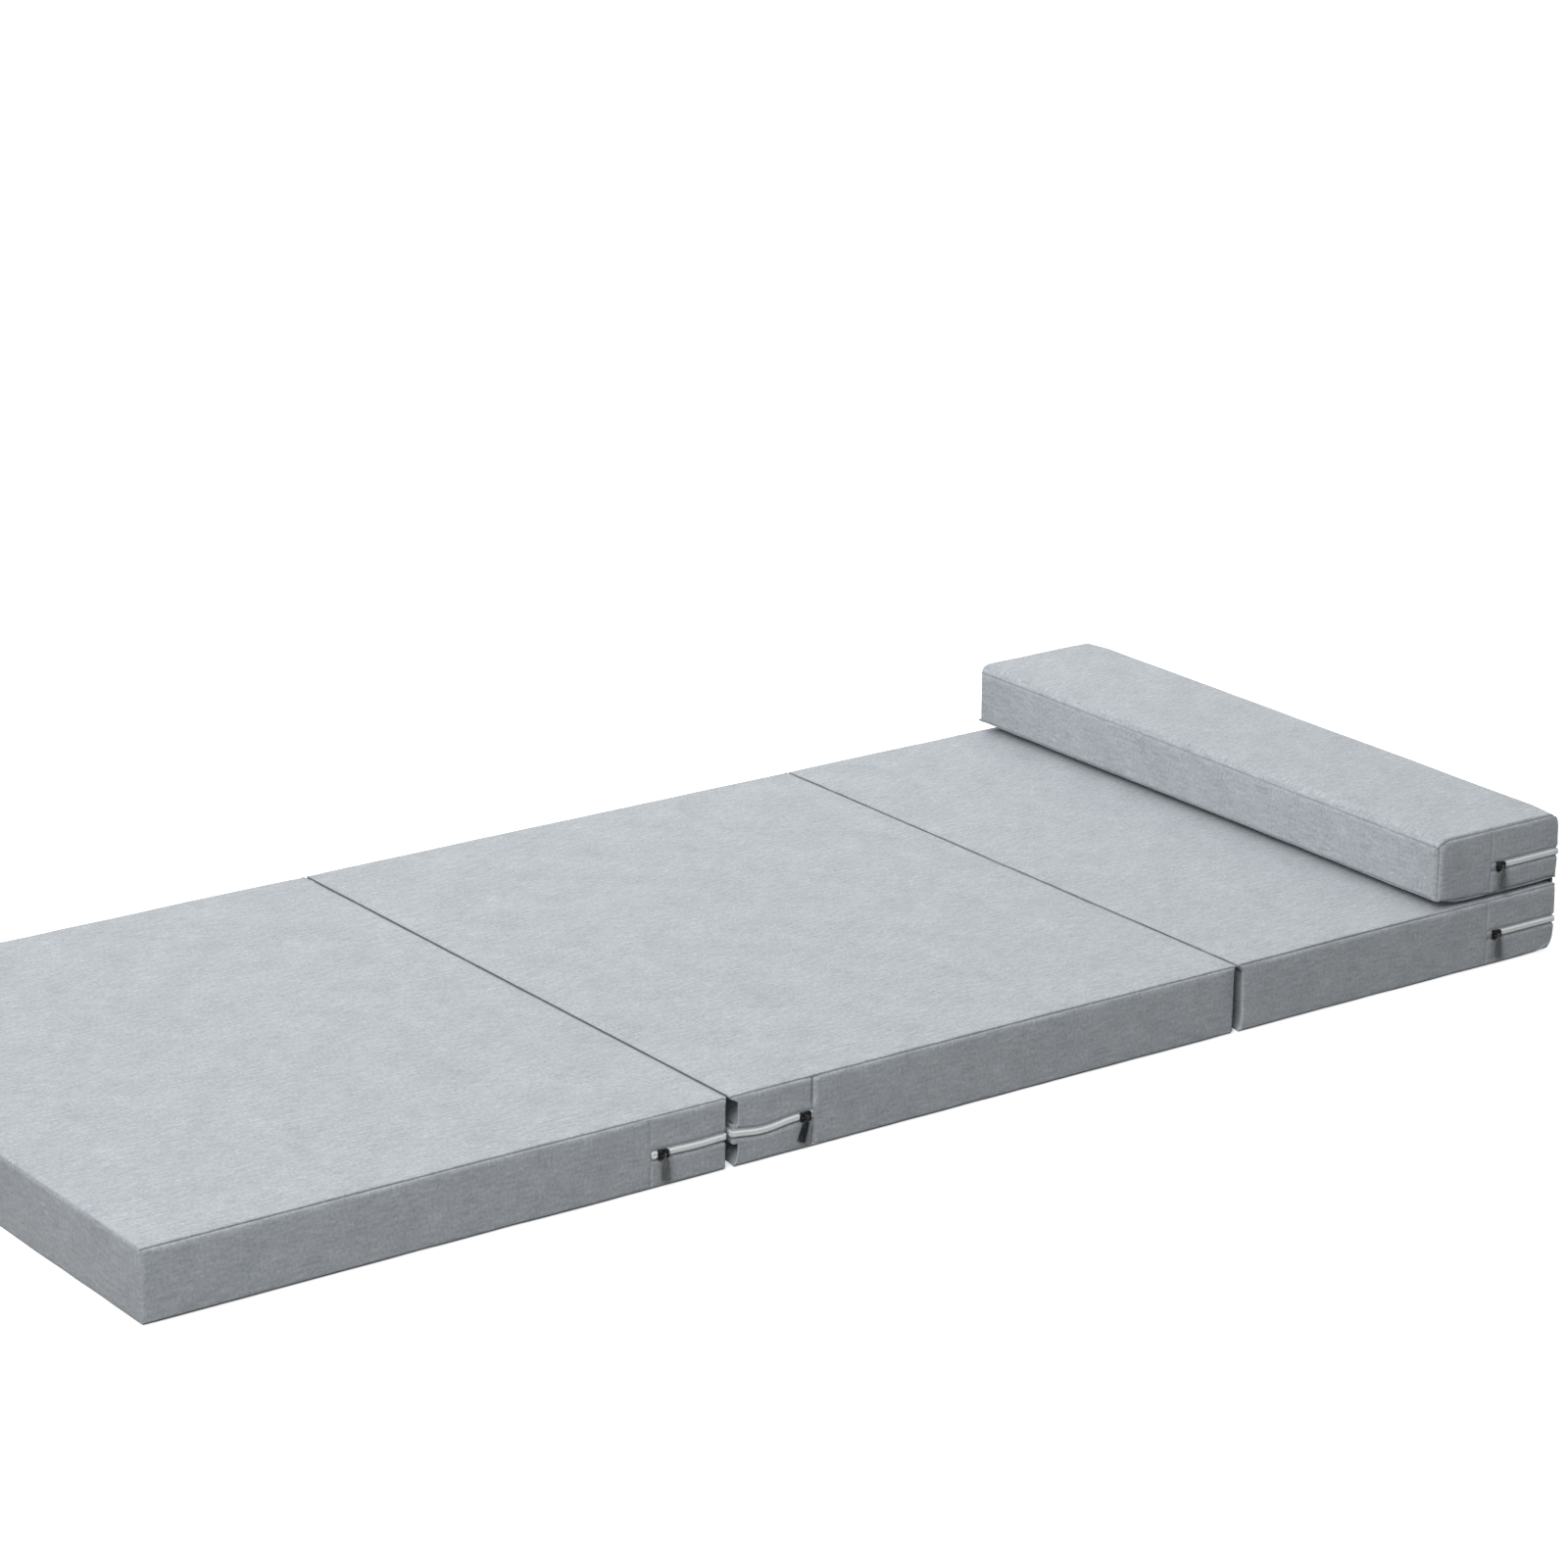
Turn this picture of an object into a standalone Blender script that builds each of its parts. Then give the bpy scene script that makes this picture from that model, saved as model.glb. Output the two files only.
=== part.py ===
"""Folding mattress: three zipped foam sections in a row and a headrest folded back over the last one.

Metres, +Z up, +X along the mattress towards the headrest, -Y the near long side.
The origin is on the floor, under the middle of the mattress as it lies in use.
Every section is drawn once in its own frame, zipped end at +X and underside on z = 0,
and is then placed by its section's matrix.
"""

from math import asin, cos, pi, radians, sin

import bmesh
import bpy
from mathutils import Matrix, Vector

# Foam sections
SECTION_WIDTH = 0.800
SECTION_THICKNESS = 0.080
FOOT_LENGTH = 0.650
MIDDLE_LENGTH = 0.650
HEAD_LENGTH = 0.460
HEADREST_LENGTH = 0.180

# Play between neighbours
HINGE_GAP = 0.0024
FOLD_CLEARANCE = 0.0003
SEAM_GAP = 0.0004
FOAM_CLEARANCE = 0.0005
SEAT_CLEARANCE = 0.0003

# Soft form of a section
CROWN = 0.002
SIDE_DRAW_IN = 0.0025
HEADREST_DRAW_IN = 0.0008
END_DRAW_IN = 0.0012
TOP_EDGE_RADIUS = 0.011
UNDER_EDGE_RADIUS = 0.016
HEAD_END_RADIUS = 0.024
CORNER_RADIUS = 0.009
SHOULDER = 0.035
CREST_SHARES = (-1.0, -0.35, 0.35, 1.0)
CROWN_POWER = 4
EDGE_FACETS = 3

# Edges that lie against a neighbour, by end and face of the section: 1 is the zipped end or the top.
# Their rounds are drawn out: from how far along a round to how far, 0 at its start and 1 at the corner.
DRAWN_OUT_SHARES = ((0, 0), (0.5, 0.744), (0.866, 0.988), (1, 1))
FOOT_JOINED = ((1, 1), (1, -1))
MIDDLE_JOINED = ((1, 1), (1, -1), (-1, 1), (-1, -1))
HEAD_JOINED = ((1, 1), (-1, 1), (-1, -1))
HEADREST_JOINED = ((1, 1), (-1, 1))

# Cover, and how far down its rounded edges the seams lie, as a share of the radius
FABRIC = 0.0012
SEAM_DEPTH_SHARE = 0.36

# Zip chain: two tapes and the coil between them
ZIP_HEIGHT = 0.036
HEADREST_ZIP_HEIGHT = 0.046
FOOT_ZIP_RETURN = 0.091
MIDDLE_ZIP_RETURN = 0.102
HEAD_ZIP_RETURN = 0.102
HEADREST_ZIP_RETURN = 0.101
FOOT_SLIDER_SETBACK = 0.014
MIDDLE_SLIDER_SETBACK = 0.011
HEAD_SLIDER_SETBACK = 0.013
HEADREST_SLIDER_SETBACK = 0.013
ZIP_SLOT = 0.012
TAPE_WIDTH = 0.022
TAPE_THICKNESS = 0.0006
COIL_WIDTH = 0.006
COIL_PROUD = 0.0004
COIL_SHOULDER = 0.001
CHAIN_START = 0.0008

# Zip slider
SLIDER_LENGTH = 0.013
SLIDER_HEAD_WIDTH = 0.0102
SLIDER_TAIL_WIDTH = 0.0088
SLIDER_CORNER = 0.0016
PLATE = 0.0011
PLATE_EDGE = 0.0003
COIL_PLAY = 0.0005
FLANGE_LAP = 0.0003
TAPE_PLAY = 0.0003
CHANNEL_WIDTH = 0.0069
CHANNEL_HEAD_WIDTH = 0.0084
NECK_WIDTH = 0.0016
NECK_LENGTH = 0.0036
NECK_INSET = 0.0009
SLIT_PLAY = 0.0004
BOW_SPAN = 0.0088
BOW_FLAT = 0.0058
ROD_RADIUS = 0.00075
ROD_ROOT = 0.0006
SLIDER_BACK_ROOM = 0.0006

# Zip pull
RING_TUBE_RADIUS = 0.0005
RING_PLAY = 0.0003
PULL_LENGTH = 0.0240
PULL_TOP_WIDTH = 0.0074
PULL_TIP_WIDTH = 0.0096
PULL_NECK_WIDTH = 0.0024
PULL_NECK_LENGTH = 0.0030
PULL_CORNER = 0.0018
PULL_THICKNESS = 0.0016
PULL_EDGE = 0.0003
PULL_ROOT = 0.0003
MIDDLE_PULL_LEAN = radians(-18)

# Hinge welts: the corded seams that join one cover to the next
WELT_DEPTH = 0.003
WELT_BLADE = 0.0014
WELT_BLADE_DEPTH = 0.016
WELT_SIDES = 12

# One overrun for every cutter that has to pass through a face
OVERRUN = 0.002

# Facets of the small rounds, and the angle past which two facets meet in a crease
ROD_SIDES = 2
ARC_STEPS = 3
RING_SIDES = 6
RING_STEPS = 14
CREASE = radians(32)

# Points closer than this are one point
WELD = 0.00001

MODEL = "folding_mattress"


def plain_height():
    """Height of a section at its rim, where the crown is nil."""
    return SECTION_THICKNESS - CROWN


def skin_depth():
    """Depth of the foam's face below the cover's outer face."""
    return FABRIC + FOAM_CLEARANCE


def tape_depth():
    """Depth of the zip tape's outer face: it lies behind the edges of the two zip bands."""
    return FABRIC + SEAT_CLEARANCE


class Section:
    """One foam section: its sizes, and where it lies."""

    def __init__(self, name, length, zip_height, zip_return, setback, draw_in, end_radius, joined,
                 placement, near):
        self.name = name
        self.length = length
        self.zip_height = zip_height
        self.draw_in = draw_in
        self.end_radius = end_radius
        self.joined = joined
        self.placement = placement
        self.near = near
        self.end = length / 2
        self.seam_x = self.end - zip_return
        self.slider_x = self.seam_x + setback

    def side_bump(self, x):
        """Share of the draw-in at x: nil along the zip and at the far corner."""
        along = (x + self.end) / (self.seam_x + self.end)
        return sin(pi * min(max(along, 0), 1)) ** 2

    def edge_radius(self, end, face):
        if face > 0:
            return TOP_EDGE_RADIUS
        return self.end_radius if end > 0 else UNDER_EDGE_RADIUS

    def squared(self, point):
        """Draws the rounds of the joined edges out towards their corners."""
        x, z = point.x, point.z
        half_height = plain_height() / 2
        whole_from = DRAWN_OUT_SHARES[1][0]
        for end, face in self.joined:
            radius = self.edge_radius(end, face)
            out = 1 - (self.end - end * point.x) / radius
            up = 1 - (half_height - face * (point.z - half_height)) / radius
            if out > 0 and up > 0:
                x += end * radius * (drawn_out(out) - out) * min(up / whole_from, 1)
                z += face * radius * (drawn_out(up) - up) * min(out / whole_from, 1)
        return Vector((x, point.y, z))

    def soften(self, point):
        """Moves a point of the plain block to its place in the soft, crowned block."""
        point = self.squared(point)
        across = point.y / (SECTION_WIDTH / 2)
        along = point.x / self.end
        crown = CROWN * (1 - abs(along) ** CROWN_POWER) * (1 - abs(across) ** CROWN_POWER)
        narrow = self.draw_in * self.side_bump(point.x) / (SECTION_WIDTH / 2)
        shorten = END_DRAW_IN * (1 - across * across) / self.end
        return Vector((
            point.x * (1 - shorten),
            point.y * (1 - narrow),
            point.z * (1 + max(crown, 0) / plain_height()),
        ))

    def stations(self):
        """Where the block is cut across, so that it can bend: the crests and the seam."""
        crests = [share * (self.end - SHOULDER) for share in CREST_SHARES]
        clear = [x for x in crests if abs(x - self.seam_x) > SHOULDER / 2]
        return clear + [self.seam_x]


def drawn_out(share):
    for (start, moved_start), (stop, moved_stop) in zip(DRAWN_OUT_SHARES, DRAWN_OUT_SHARES[1:]):
        if share <= stop:
            return moved_start + (moved_stop - moved_start) * (share - start) / (stop - start)
    return share


def across_stations():
    return [share * (SECTION_WIDTH / 2 - SHOULDER) for share in CREST_SHARES]


def in_a_row():
    """The four sections at rest: three in a row on the floor, and the headrest folded over the last."""
    total = FOOT_LENGTH + MIDDLE_LENGTH + HEAD_LENGTH + 2 * HINGE_GAP
    start = -total / 2
    foot_x = start + FOOT_LENGTH / 2
    middle_x = start + FOOT_LENGTH + HINGE_GAP + MIDDLE_LENGTH / 2
    head_x = total / 2 - HEAD_LENGTH / 2
    headrest_x = total / 2 - HEADREST_LENGTH / 2
    over = Vector((headrest_x, 0, 2 * SECTION_THICKNESS + FOLD_CLEARANCE))
    turned = Matrix.Rotation(pi, 4, "Z")
    upended = Matrix.Rotation(pi, 4, "X")
    return (
        Section("foot", FOOT_LENGTH, ZIP_HEIGHT, FOOT_ZIP_RETURN, FOOT_SLIDER_SETBACK, SIDE_DRAW_IN,
                UNDER_EDGE_RADIUS, FOOT_JOINED, Matrix.Translation((foot_x, 0, 0)), -1),
        Section("middle", MIDDLE_LENGTH, ZIP_HEIGHT, MIDDLE_ZIP_RETURN, MIDDLE_SLIDER_SETBACK, SIDE_DRAW_IN,
                UNDER_EDGE_RADIUS, MIDDLE_JOINED, Matrix.Translation((middle_x, 0, 0)) @ turned, 1),
        Section("head", HEAD_LENGTH, ZIP_HEIGHT, HEAD_ZIP_RETURN, HEAD_SLIDER_SETBACK, SIDE_DRAW_IN,
                HEAD_END_RADIUS, HEAD_JOINED, Matrix.Translation((head_x, 0, 0)), -1),
        Section("headrest", HEADREST_LENGTH, HEADREST_ZIP_HEIGHT, HEADREST_ZIP_RETURN,
                HEADREST_SLIDER_SETBACK, HEADREST_DRAW_IN, UNDER_EDGE_RADIUS, HEADREST_JOINED,
                Matrix.Translation(over) @ upended, 1),
    )


def hinge_points(total):
    """The three fold lines, each along Y: foot over middle, head under middle, headrest over head."""
    top = SECTION_THICKNESS + FOLD_CLEARANCE / 2
    foot_x = -total / 2 + FOOT_LENGTH + HINGE_GAP / 2
    head_x = total / 2 - HEAD_LENGTH - HINGE_GAP / 2
    return {
        "foot": Vector((foot_x, 0, top)),
        "head": Vector((head_x, 0, -FOLD_CLEARANCE / 2)),
        "headrest": Vector((total / 2 + HINGE_GAP / 2, 0, top)),
    }


# Scene set-up

def empty_scene():
    for item in list(bpy.data.objects):
        bpy.data.objects.remove(item, do_unlink=True)


def collection(name):
    made = bpy.data.collections.new(name)
    bpy.context.scene.collection.children.link(made)
    return made


def material(name, colour, roughness, metallic=0.0):
    made = bpy.data.materials.new(name)
    made.use_nodes = True
    shader = made.node_tree.nodes["Principled BSDF"]
    shader.inputs["Base Color"].default_value = (*colour, 1)
    shader.inputs["Roughness"].default_value = roughness
    shader.inputs["Metallic"].default_value = metallic
    made.diffuse_color = (*colour, 1)
    return made


def anchor(name, location, parent=None):
    """An empty on a joint's axis, which the pieces of one moving body hang from."""
    made = bpy.data.objects.new(name, None)
    parts.objects.link(made)
    made.empty_display_size = SECTION_THICKNESS / 2
    made.location = location
    if parent:
        made.parent = parent
        made.matrix_parent_inverse = Matrix.Translation(world_place(parent)).inverted()
    return made


def world_place(item):
    """Where an empty is: every anchor's location is given in the world."""
    return item.location.copy()


def piece(name, mesh, look, parent, placement):
    mesh.shade_smooth()
    mesh.set_sharp_from_angle(angle=CREASE)
    made = bpy.data.objects.new(name, mesh)
    parts.objects.link(made)
    made.data.materials.clear()
    made.data.materials.append(look)
    made.parent = parent
    made.matrix_parent_inverse = Matrix.Translation(world_place(parent)).inverted()
    made.matrix_basis = placement
    return made


def cutter(name, mesh, placement):
    made = bpy.data.objects.new(name, mesh)
    cutters.objects.link(made)
    made.matrix_basis = placement
    made.hide_render = True
    made.display_type = "WIRE"
    return made


def boolean(item, operation, tool):
    added = item.modifiers.new(tool.name, "BOOLEAN")
    added.operation = operation
    added.solver = "EXACT"
    added.object = tool
    return added


def baked(item):
    """The evaluated mesh of a helper object, which is then removed."""
    bpy.context.view_layer.update()
    graph = bpy.context.evaluated_depsgraph_get()
    mesh = bpy.data.meshes.new_from_object(item.evaluated_get(graph))
    bpy.data.objects.remove(item, do_unlink=True)
    return mesh


def helper(name, data):
    made = bpy.data.objects.new(name, data)
    cutters.objects.link(made)
    made.hide_render = True
    made.display_type = "WIRE"
    return made


def tidy(mesh):
    """Welds a swept or filled mesh into one closed skin that faces out."""
    work = bmesh.new()
    work.from_mesh(mesh)
    bmesh.ops.remove_doubles(work, verts=work.verts, dist=WELD)
    bmesh.ops.recalc_face_normals(work, faces=work.faces)
    work.to_mesh(mesh)
    work.free()
    return mesh


# Soft block

def edge_weight(edge, section):
    """Radius of the round on one edge of the plain block, as a share of the widest one."""
    half = Vector((section.end, SECTION_WIDTH / 2, plain_height() / 2))
    middle = (edge.verts[0].co + edge.verts[1].co) / 2 - Vector((0, 0, half.z))
    direction = edge.verts[1].co - edge.verts[0].co
    along = max(range(3), key=lambda i: abs(direction[i]))
    touched = [i for i in range(3) if i != along and abs(abs(middle[i]) - half[i]) < WELD]
    if len(touched) < 2:
        return 0
    if along == 2:
        radius = CORNER_RADIUS
    elif middle.z > 0:
        radius = TOP_EDGE_RADIUS
    elif along == 1 and middle.x > 0:
        radius = section.end_radius
    else:
        radius = UNDER_EDGE_RADIUS
    return radius / widest_radius()


def widest_radius():
    return max(TOP_EDGE_RADIUS, UNDER_EDGE_RADIUS, HEAD_END_RADIUS, CORNER_RADIUS)


def plain_block(section):
    """The block with its edges rounded, cut across at its stations, not yet crowned or drawn in."""
    work = bmesh.new()
    bmesh.ops.create_cube(work, size=1)
    size = Matrix.Diagonal((section.length, SECTION_WIDTH, plain_height(), 1))
    bmesh.ops.transform(work, matrix=Matrix.Translation((0, 0, plain_height() / 2)) @ size, verts=work.verts)
    for x in section.stations():
        slice_at(work, Vector((x, 0, 0)), Vector((1, 0, 0)))
    for y in across_stations():
        slice_at(work, Vector((0, y, 0)), Vector((0, 1, 0)))
    weights = work.edges.layers.float.new("bevel_weight_edge")
    for edge in work.edges:
        edge[weights] = edge_weight(edge, section)
    mesh = bpy.data.meshes.new(section.name + "_block")
    work.to_mesh(mesh)
    work.free()
    block = helper(section.name + "_block", mesh)
    rounding = block.modifiers.new("rounded_edges", "BEVEL")
    rounding.limit_method = "WEIGHT"
    rounding.width = widest_radius()
    rounding.segments = EDGE_FACETS
    rounding.use_clamp_overlap = False
    return flat_underneath(baked(block))


def flat_underneath(mesh):
    """Makes one face of the underside, which stays flat on the floor."""
    work = bmesh.new()
    work.from_mesh(mesh)
    level = [face for face in work.faces if max(vert.co.z for vert in face.verts) < WELD]
    bmesh.ops.dissolve_faces(work, faces=level)
    work.to_mesh(mesh)
    work.free()
    return mesh


def slice_at(work, point, normal, **drop):
    geometry = work.verts[:] + work.edges[:] + work.faces[:]
    bmesh.ops.bisect_plane(work, geom=geometry, dist=WELD, plane_co=point, plane_no=normal, **drop)


def skin_mesh(section, block, name, limits):
    """The stretch of the block's skin within limits, softened: one open panel of cloth.

    Each limit is a point on a seam and the way into the panel from there.
    """
    work = bmesh.new()
    work.from_mesh(block)
    for point, inward in limits:
        slice_at(work, point + inward * (SEAM_GAP / 2), inward, clear_inner=True)
    for vert in work.verts:
        vert.co = section.soften(vert.co)
    mesh = bpy.data.meshes.new(name)
    work.to_mesh(mesh)
    work.free()
    return mesh


def panel(section, block, name, limits, look, body):
    made = piece(name, skin_mesh(section, block, name, limits), look, body, section.placement)
    cloth = made.modifiers.new("cloth_thickness", "SOLIDIFY")
    cloth.thickness = FABRIC
    cloth.offset = -1
    cloth.use_even_offset = True
    return made


def foam_mesh(section, block, name):
    """The soft block drawn in all round by the cover's thickness and a little play."""
    work = bmesh.new()
    work.from_mesh(block)
    for vert in work.verts:
        vert.co = section.soften(vert.co)
    work.normal_update()
    inward = [vert.normal * skin_depth() * vert.calc_shell_factor() for vert in work.verts]
    for vert, step in zip(work.verts, inward):
        vert.co -= step
    mesh = bpy.data.meshes.new(name)
    work.to_mesh(mesh)
    work.free()
    return mesh


# Zip

def round_the_end(section, start_x):
    """Plan of the zip's run on the cover's face: along one side, round the zipped end and back."""
    side = SECTION_WIDTH / 2
    turn_x = section.end - CORNER_RADIUS
    turn_y = side - CORNER_RADIUS
    run = [(start_x, -side)]
    for x in sorted(section.stations()):
        if start_x < x < turn_x:
            run.append((x, -side))
    for step in range(EDGE_FACETS + 1):
        angle = pi / 2 * step / EDGE_FACETS
        run.append((turn_x + CORNER_RADIUS * sin(angle), -turn_y - CORNER_RADIUS * cos(angle)))
    half = run + [(section.end, y) for y in sorted(across_stations()) if y < 0]
    return half + [(x, -y) for x, y in reversed(half)]


def flat_outline(name, loops, thickness):
    """A flat outline, with any further loops as holes, made solid about z = 0."""
    curve = bpy.data.curves.new(name, "CURVE")
    curve.dimensions = "2D"
    curve.fill_mode = "BOTH"
    curve.extrude = thickness / 2
    for loop in loops:
        spline = curve.splines.new("POLY")
        spline.points.add(len(loop) - 1)
        for point, (x, y) in zip(spline.points, loop):
            point.co = (x, y, 0, 1)
        spline.use_cyclic_u = True
    return curve


def swept_mesh(section, name, profile, start_x):
    """A profile of (depth, height) points carried round the zipped end."""
    outline = bpy.data.curves.new(name + "_profile", "CURVE")
    outline.dimensions = "2D"
    spline = outline.splines.new("POLY")
    spline.points.add(len(profile) - 1)
    for point, (depth, height) in zip(spline.points, profile):
        point.co = (-depth, height, 0, 1)
    spline.use_cyclic_u = True
    shape = helper(name + "_profile", outline)
    path = bpy.data.curves.new(name + "_path", "CURVE")
    path.dimensions = "2D"
    path.bevel_mode = "OBJECT"
    path.bevel_object = shape
    path.use_fill_caps = True
    run = round_the_end(section, start_x)
    spline = path.splines.new("POLY")
    spline.points.add(len(run) - 1)
    for point, (x, y) in zip(spline.points, run):
        point.co = (x, y, 0, 1)
    mesh = tidy(baked(helper(name + "_path", path)))
    bpy.data.objects.remove(shape, do_unlink=True)
    for vert in mesh.vertices:
        vert.co.z += section.zip_height
        vert.co = section.soften(vert.co)
    mesh.name = name
    return mesh


def chain_profile():
    """Tape behind the bands' edges, with the coil standing up through the slot."""
    front = tape_depth()
    back = front + TAPE_THICKNESS
    half_tape = TAPE_WIDTH / 2
    half_coil = COIL_WIDTH / 2
    crest = half_coil - COIL_SHOULDER
    return [
        (back, -half_tape), (front, -half_tape), (front, -half_coil),
        (COIL_SHOULDER - COIL_PROUD, -half_coil), (-COIL_PROUD, -crest),
        (-COIL_PROUD, crest), (COIL_SHOULDER - COIL_PROUD, half_coil),
        (front, half_coil), (front, half_tape), (back, half_tape),
    ]


def channel_profile():
    """Room in the foam: a rebate for the tape, and a deeper channel for the slider's back plate."""
    tape_back = tape_depth() + TAPE_THICKNESS
    rebate = tape_back + FOAM_CLEARANCE
    deep = tape_back + TAPE_PLAY + PLATE + SLIDER_BACK_ROOM
    wide = TAPE_WIDTH / 2 + FOAM_CLEARANCE
    narrow = SLIDER_HEAD_WIDTH / 2 + SLIDER_BACK_ROOM
    return [
        (-OVERRUN, -wide), (rebate, -wide), (rebate, -narrow), (deep, -narrow),
        (deep, narrow), (rebate, narrow), (rebate, wide), (-OVERRUN, wide),
    ]


def rounded_loop(corners, radius):
    """A closed outline through corners, each turned into an arc of the given radius."""
    loop = []
    count = len(corners)
    for i, corner in enumerate(corners):
        here = Vector(corner)
        back = (Vector(corners[i - 1]) - here).normalized()
        ahead = (Vector(corners[(i + 1) % count]) - here).normalized()
        half_angle = back.angle(ahead) / 2
        centre = here + (back + ahead).normalized() * (radius / sin(half_angle))
        begin = here + back * (radius * cos(half_angle) / sin(half_angle)) - centre
        finish = here + ahead * (radius * cos(half_angle) / sin(half_angle)) - centre
        for step in range(ARC_STEPS + 1):
            between = begin.lerp(finish, step / ARC_STEPS).normalized() * radius
            loop.append(tuple(centre + between))
    return loop


def neck_loop(play=0.0):
    """Outline of the wedge that parts the two halves of the coil, at the slider's head."""
    front = -SLIDER_LENGTH / 2 + NECK_INSET
    half = NECK_WIDTH / 2 + play
    back = front + NECK_LENGTH + play
    return [(front - play, -half), (front + NECK_LENGTH / 2, -half), (back, 0),
            (front + NECK_LENGTH / 2, half), (front - play, half)]


def body_depths():
    """Depths of the slider's faces below the cover's face: front plate, flanges, back plate."""
    inside_front = -COIL_PROUD - COIL_PLAY
    flange_foot = tape_depth() - FLANGE_LAP
    inside_back = tape_depth() + TAPE_THICKNESS + TAPE_PLAY
    return inside_front - PLATE, inside_front, flange_foot, inside_back, inside_back + PLATE


def rod_height():
    """Height of the bow's rod above the cover's face: the pull's ring turns under it."""
    outer = -body_depths()[0]
    return outer + RING_PLAY + ring_reach()


def ring_radius():
    return ROD_RADIUS + RING_PLAY + RING_TUBE_RADIUS


def ring_reach():
    return ring_radius() + RING_TUBE_RADIUS


def softened_plate(name, loop, bottom, top, edge):
    """A flat plate between two heights with its edges eased."""
    plate = helper(name, flat_outline(name, [loop], top - bottom))
    mesh = tidy(baked(plate))
    for vert in mesh.vertices:
        vert.co.z += (top + bottom) / 2
    eased = helper(name, mesh)
    easing = eased.modifiers.new("eased_edges", "BEVEL")
    easing.width = edge
    easing.segments = 1
    easing.limit_method = "ANGLE"
    return baked(eased)


def slider_mesh(name, placement):
    """Die-cast slider body: two plates, flanges round the coil, the neck between, and the bow.

    Drawn with the chain along X, the head and its neck at -X, and Z out of the cover.
    """
    outer, inside_front, flange_foot, inside_back, back = body_depths()
    half = SLIDER_LENGTH / 2
    head = SLIDER_HEAD_WIDTH / 2
    tail = SLIDER_TAIL_WIDTH / 2
    plan = rounded_loop([(-half, -head), (half, -tail), (half, tail), (-half, head)], SLIDER_CORNER)
    body = helper(name, softened_plate(name + "_plan", plan, -back, -outer, PLATE_EDGE))
    reach = half + OVERRUN
    wide = head + OVERRUN
    channel = CHANNEL_WIDTH / 2
    mouth = CHANNEL_HEAD_WIDTH / 2
    flare_x = -half + NECK_INSET + NECK_LENGTH
    tunnel = [(-reach, -mouth), (-half + NECK_INSET, -mouth), (flare_x, -channel), (reach, -channel),
              (reach, channel), (flare_x, channel), (-half + NECK_INSET, mouth), (-reach, mouth)]
    slot = [(-reach, -wide), (reach, -wide), (reach, wide), (-reach, wide)]
    cuts = (("tunnel", tunnel, inside_front, (flange_foot + inside_back) / 2),
            ("tape_slot", slot, flange_foot, inside_back))
    tools = []
    for word, loop, upper, lower in cuts:
        mesh = tidy(baked(helper(name, flat_outline(name, [loop, neck_loop()], lower - upper))))
        for vert in mesh.vertices:
            vert.co.z -= (upper + lower) / 2
        tools.append(cutter(name + "_" + word, mesh, Matrix.Identity(4)))
        boolean(body, "DIFFERENCE", tools[-1])
    bow = cutter(name + "_bow", bow_mesh(name), Matrix.Identity(4))
    tools.append(bow)
    boolean(body, "UNION", bow)
    mesh = baked(body)
    for tool in tools:
        tool.matrix_basis = placement
    return mesh


def bow_mesh(name):
    """The arched rod over the front plate that carries the pull."""
    foot = -body_depths()[0] - ROD_ROOT
    top = rod_height()
    curve = bpy.data.curves.new(name + "_bow", "CURVE")
    curve.dimensions = "3D"
    curve.bevel_depth = ROD_RADIUS
    curve.bevel_resolution = ROD_SIDES
    curve.use_fill_caps = True
    shoulder = (BOW_SPAN - BOW_FLAT) / 2
    points = [(-BOW_SPAN / 2, foot)]
    for step in range(ARC_STEPS + 1):
        angle = pi / 2 * step / ARC_STEPS
        points.append((-BOW_FLAT / 2 - shoulder * cos(angle), top - shoulder + shoulder * sin(angle)))
    points += [(-x, z) for x, z in reversed(points)]
    spline = curve.splines.new("POLY")
    spline.points.add(len(points) - 1)
    for point, (x, z) in zip(spline.points, points):
        point.co = (x, 0, z, 1)
    return tidy(baked(helper(name + "_rod", curve)))


def pull_mesh(name, lean, placement):
    """Pull tab hanging from a ring on the rod. Drawn about the rod: X along it, Z out of the cover."""
    root = -ring_radius() + PULL_ROOT
    shoulder = root - PULL_NECK_LENGTH
    tip = root - PULL_LENGTH
    corners = [(-PULL_TOP_WIDTH / 2, shoulder), (-PULL_TIP_WIDTH / 2, tip),
               (PULL_TIP_WIDTH / 2, tip), (PULL_TOP_WIDTH / 2, shoulder)]
    neck = PULL_NECK_WIDTH / 2
    loop = rounded_loop(corners, PULL_CORNER)
    loop += [(neck, shoulder), (neck, root), (-neck, root), (-neck, shoulder)]
    half = PULL_THICKNESS / 2
    tab = helper(name, softened_plate(name + "_tab", loop, -half, half, PULL_EDGE))
    work = bmesh.new()
    bmesh.ops.create_circle(work, radius=RING_TUBE_RADIUS, segments=RING_SIDES)
    bmesh.ops.transform(work, matrix=Matrix.Translation((ring_radius(), 0, 0)), verts=work.verts)
    bmesh.ops.spin(work, geom=work.verts[:] + work.edges[:], cent=(0, 0, 0), axis=(0, 1, 0),
                   dvec=(0, 0, 0), angle=2 * pi, steps=RING_STEPS, use_merge=True)
    bmesh.ops.remove_doubles(work, verts=work.verts, dist=WELD)
    bmesh.ops.recalc_face_normals(work, faces=work.faces)
    mesh = bpy.data.meshes.new(name + "_ring")
    work.to_mesh(mesh)
    work.free()
    mesh.transform(Matrix.Rotation(pi / 2, 4, "Z"))
    ring = cutter(name + "_ring", mesh, Matrix.Identity(4))
    boolean(tab, "UNION", ring)
    mesh = baked(tab)
    ring.matrix_basis = placement
    mesh.transform(Matrix.Rotation(lean, 4, "Z"))
    return mesh


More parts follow.
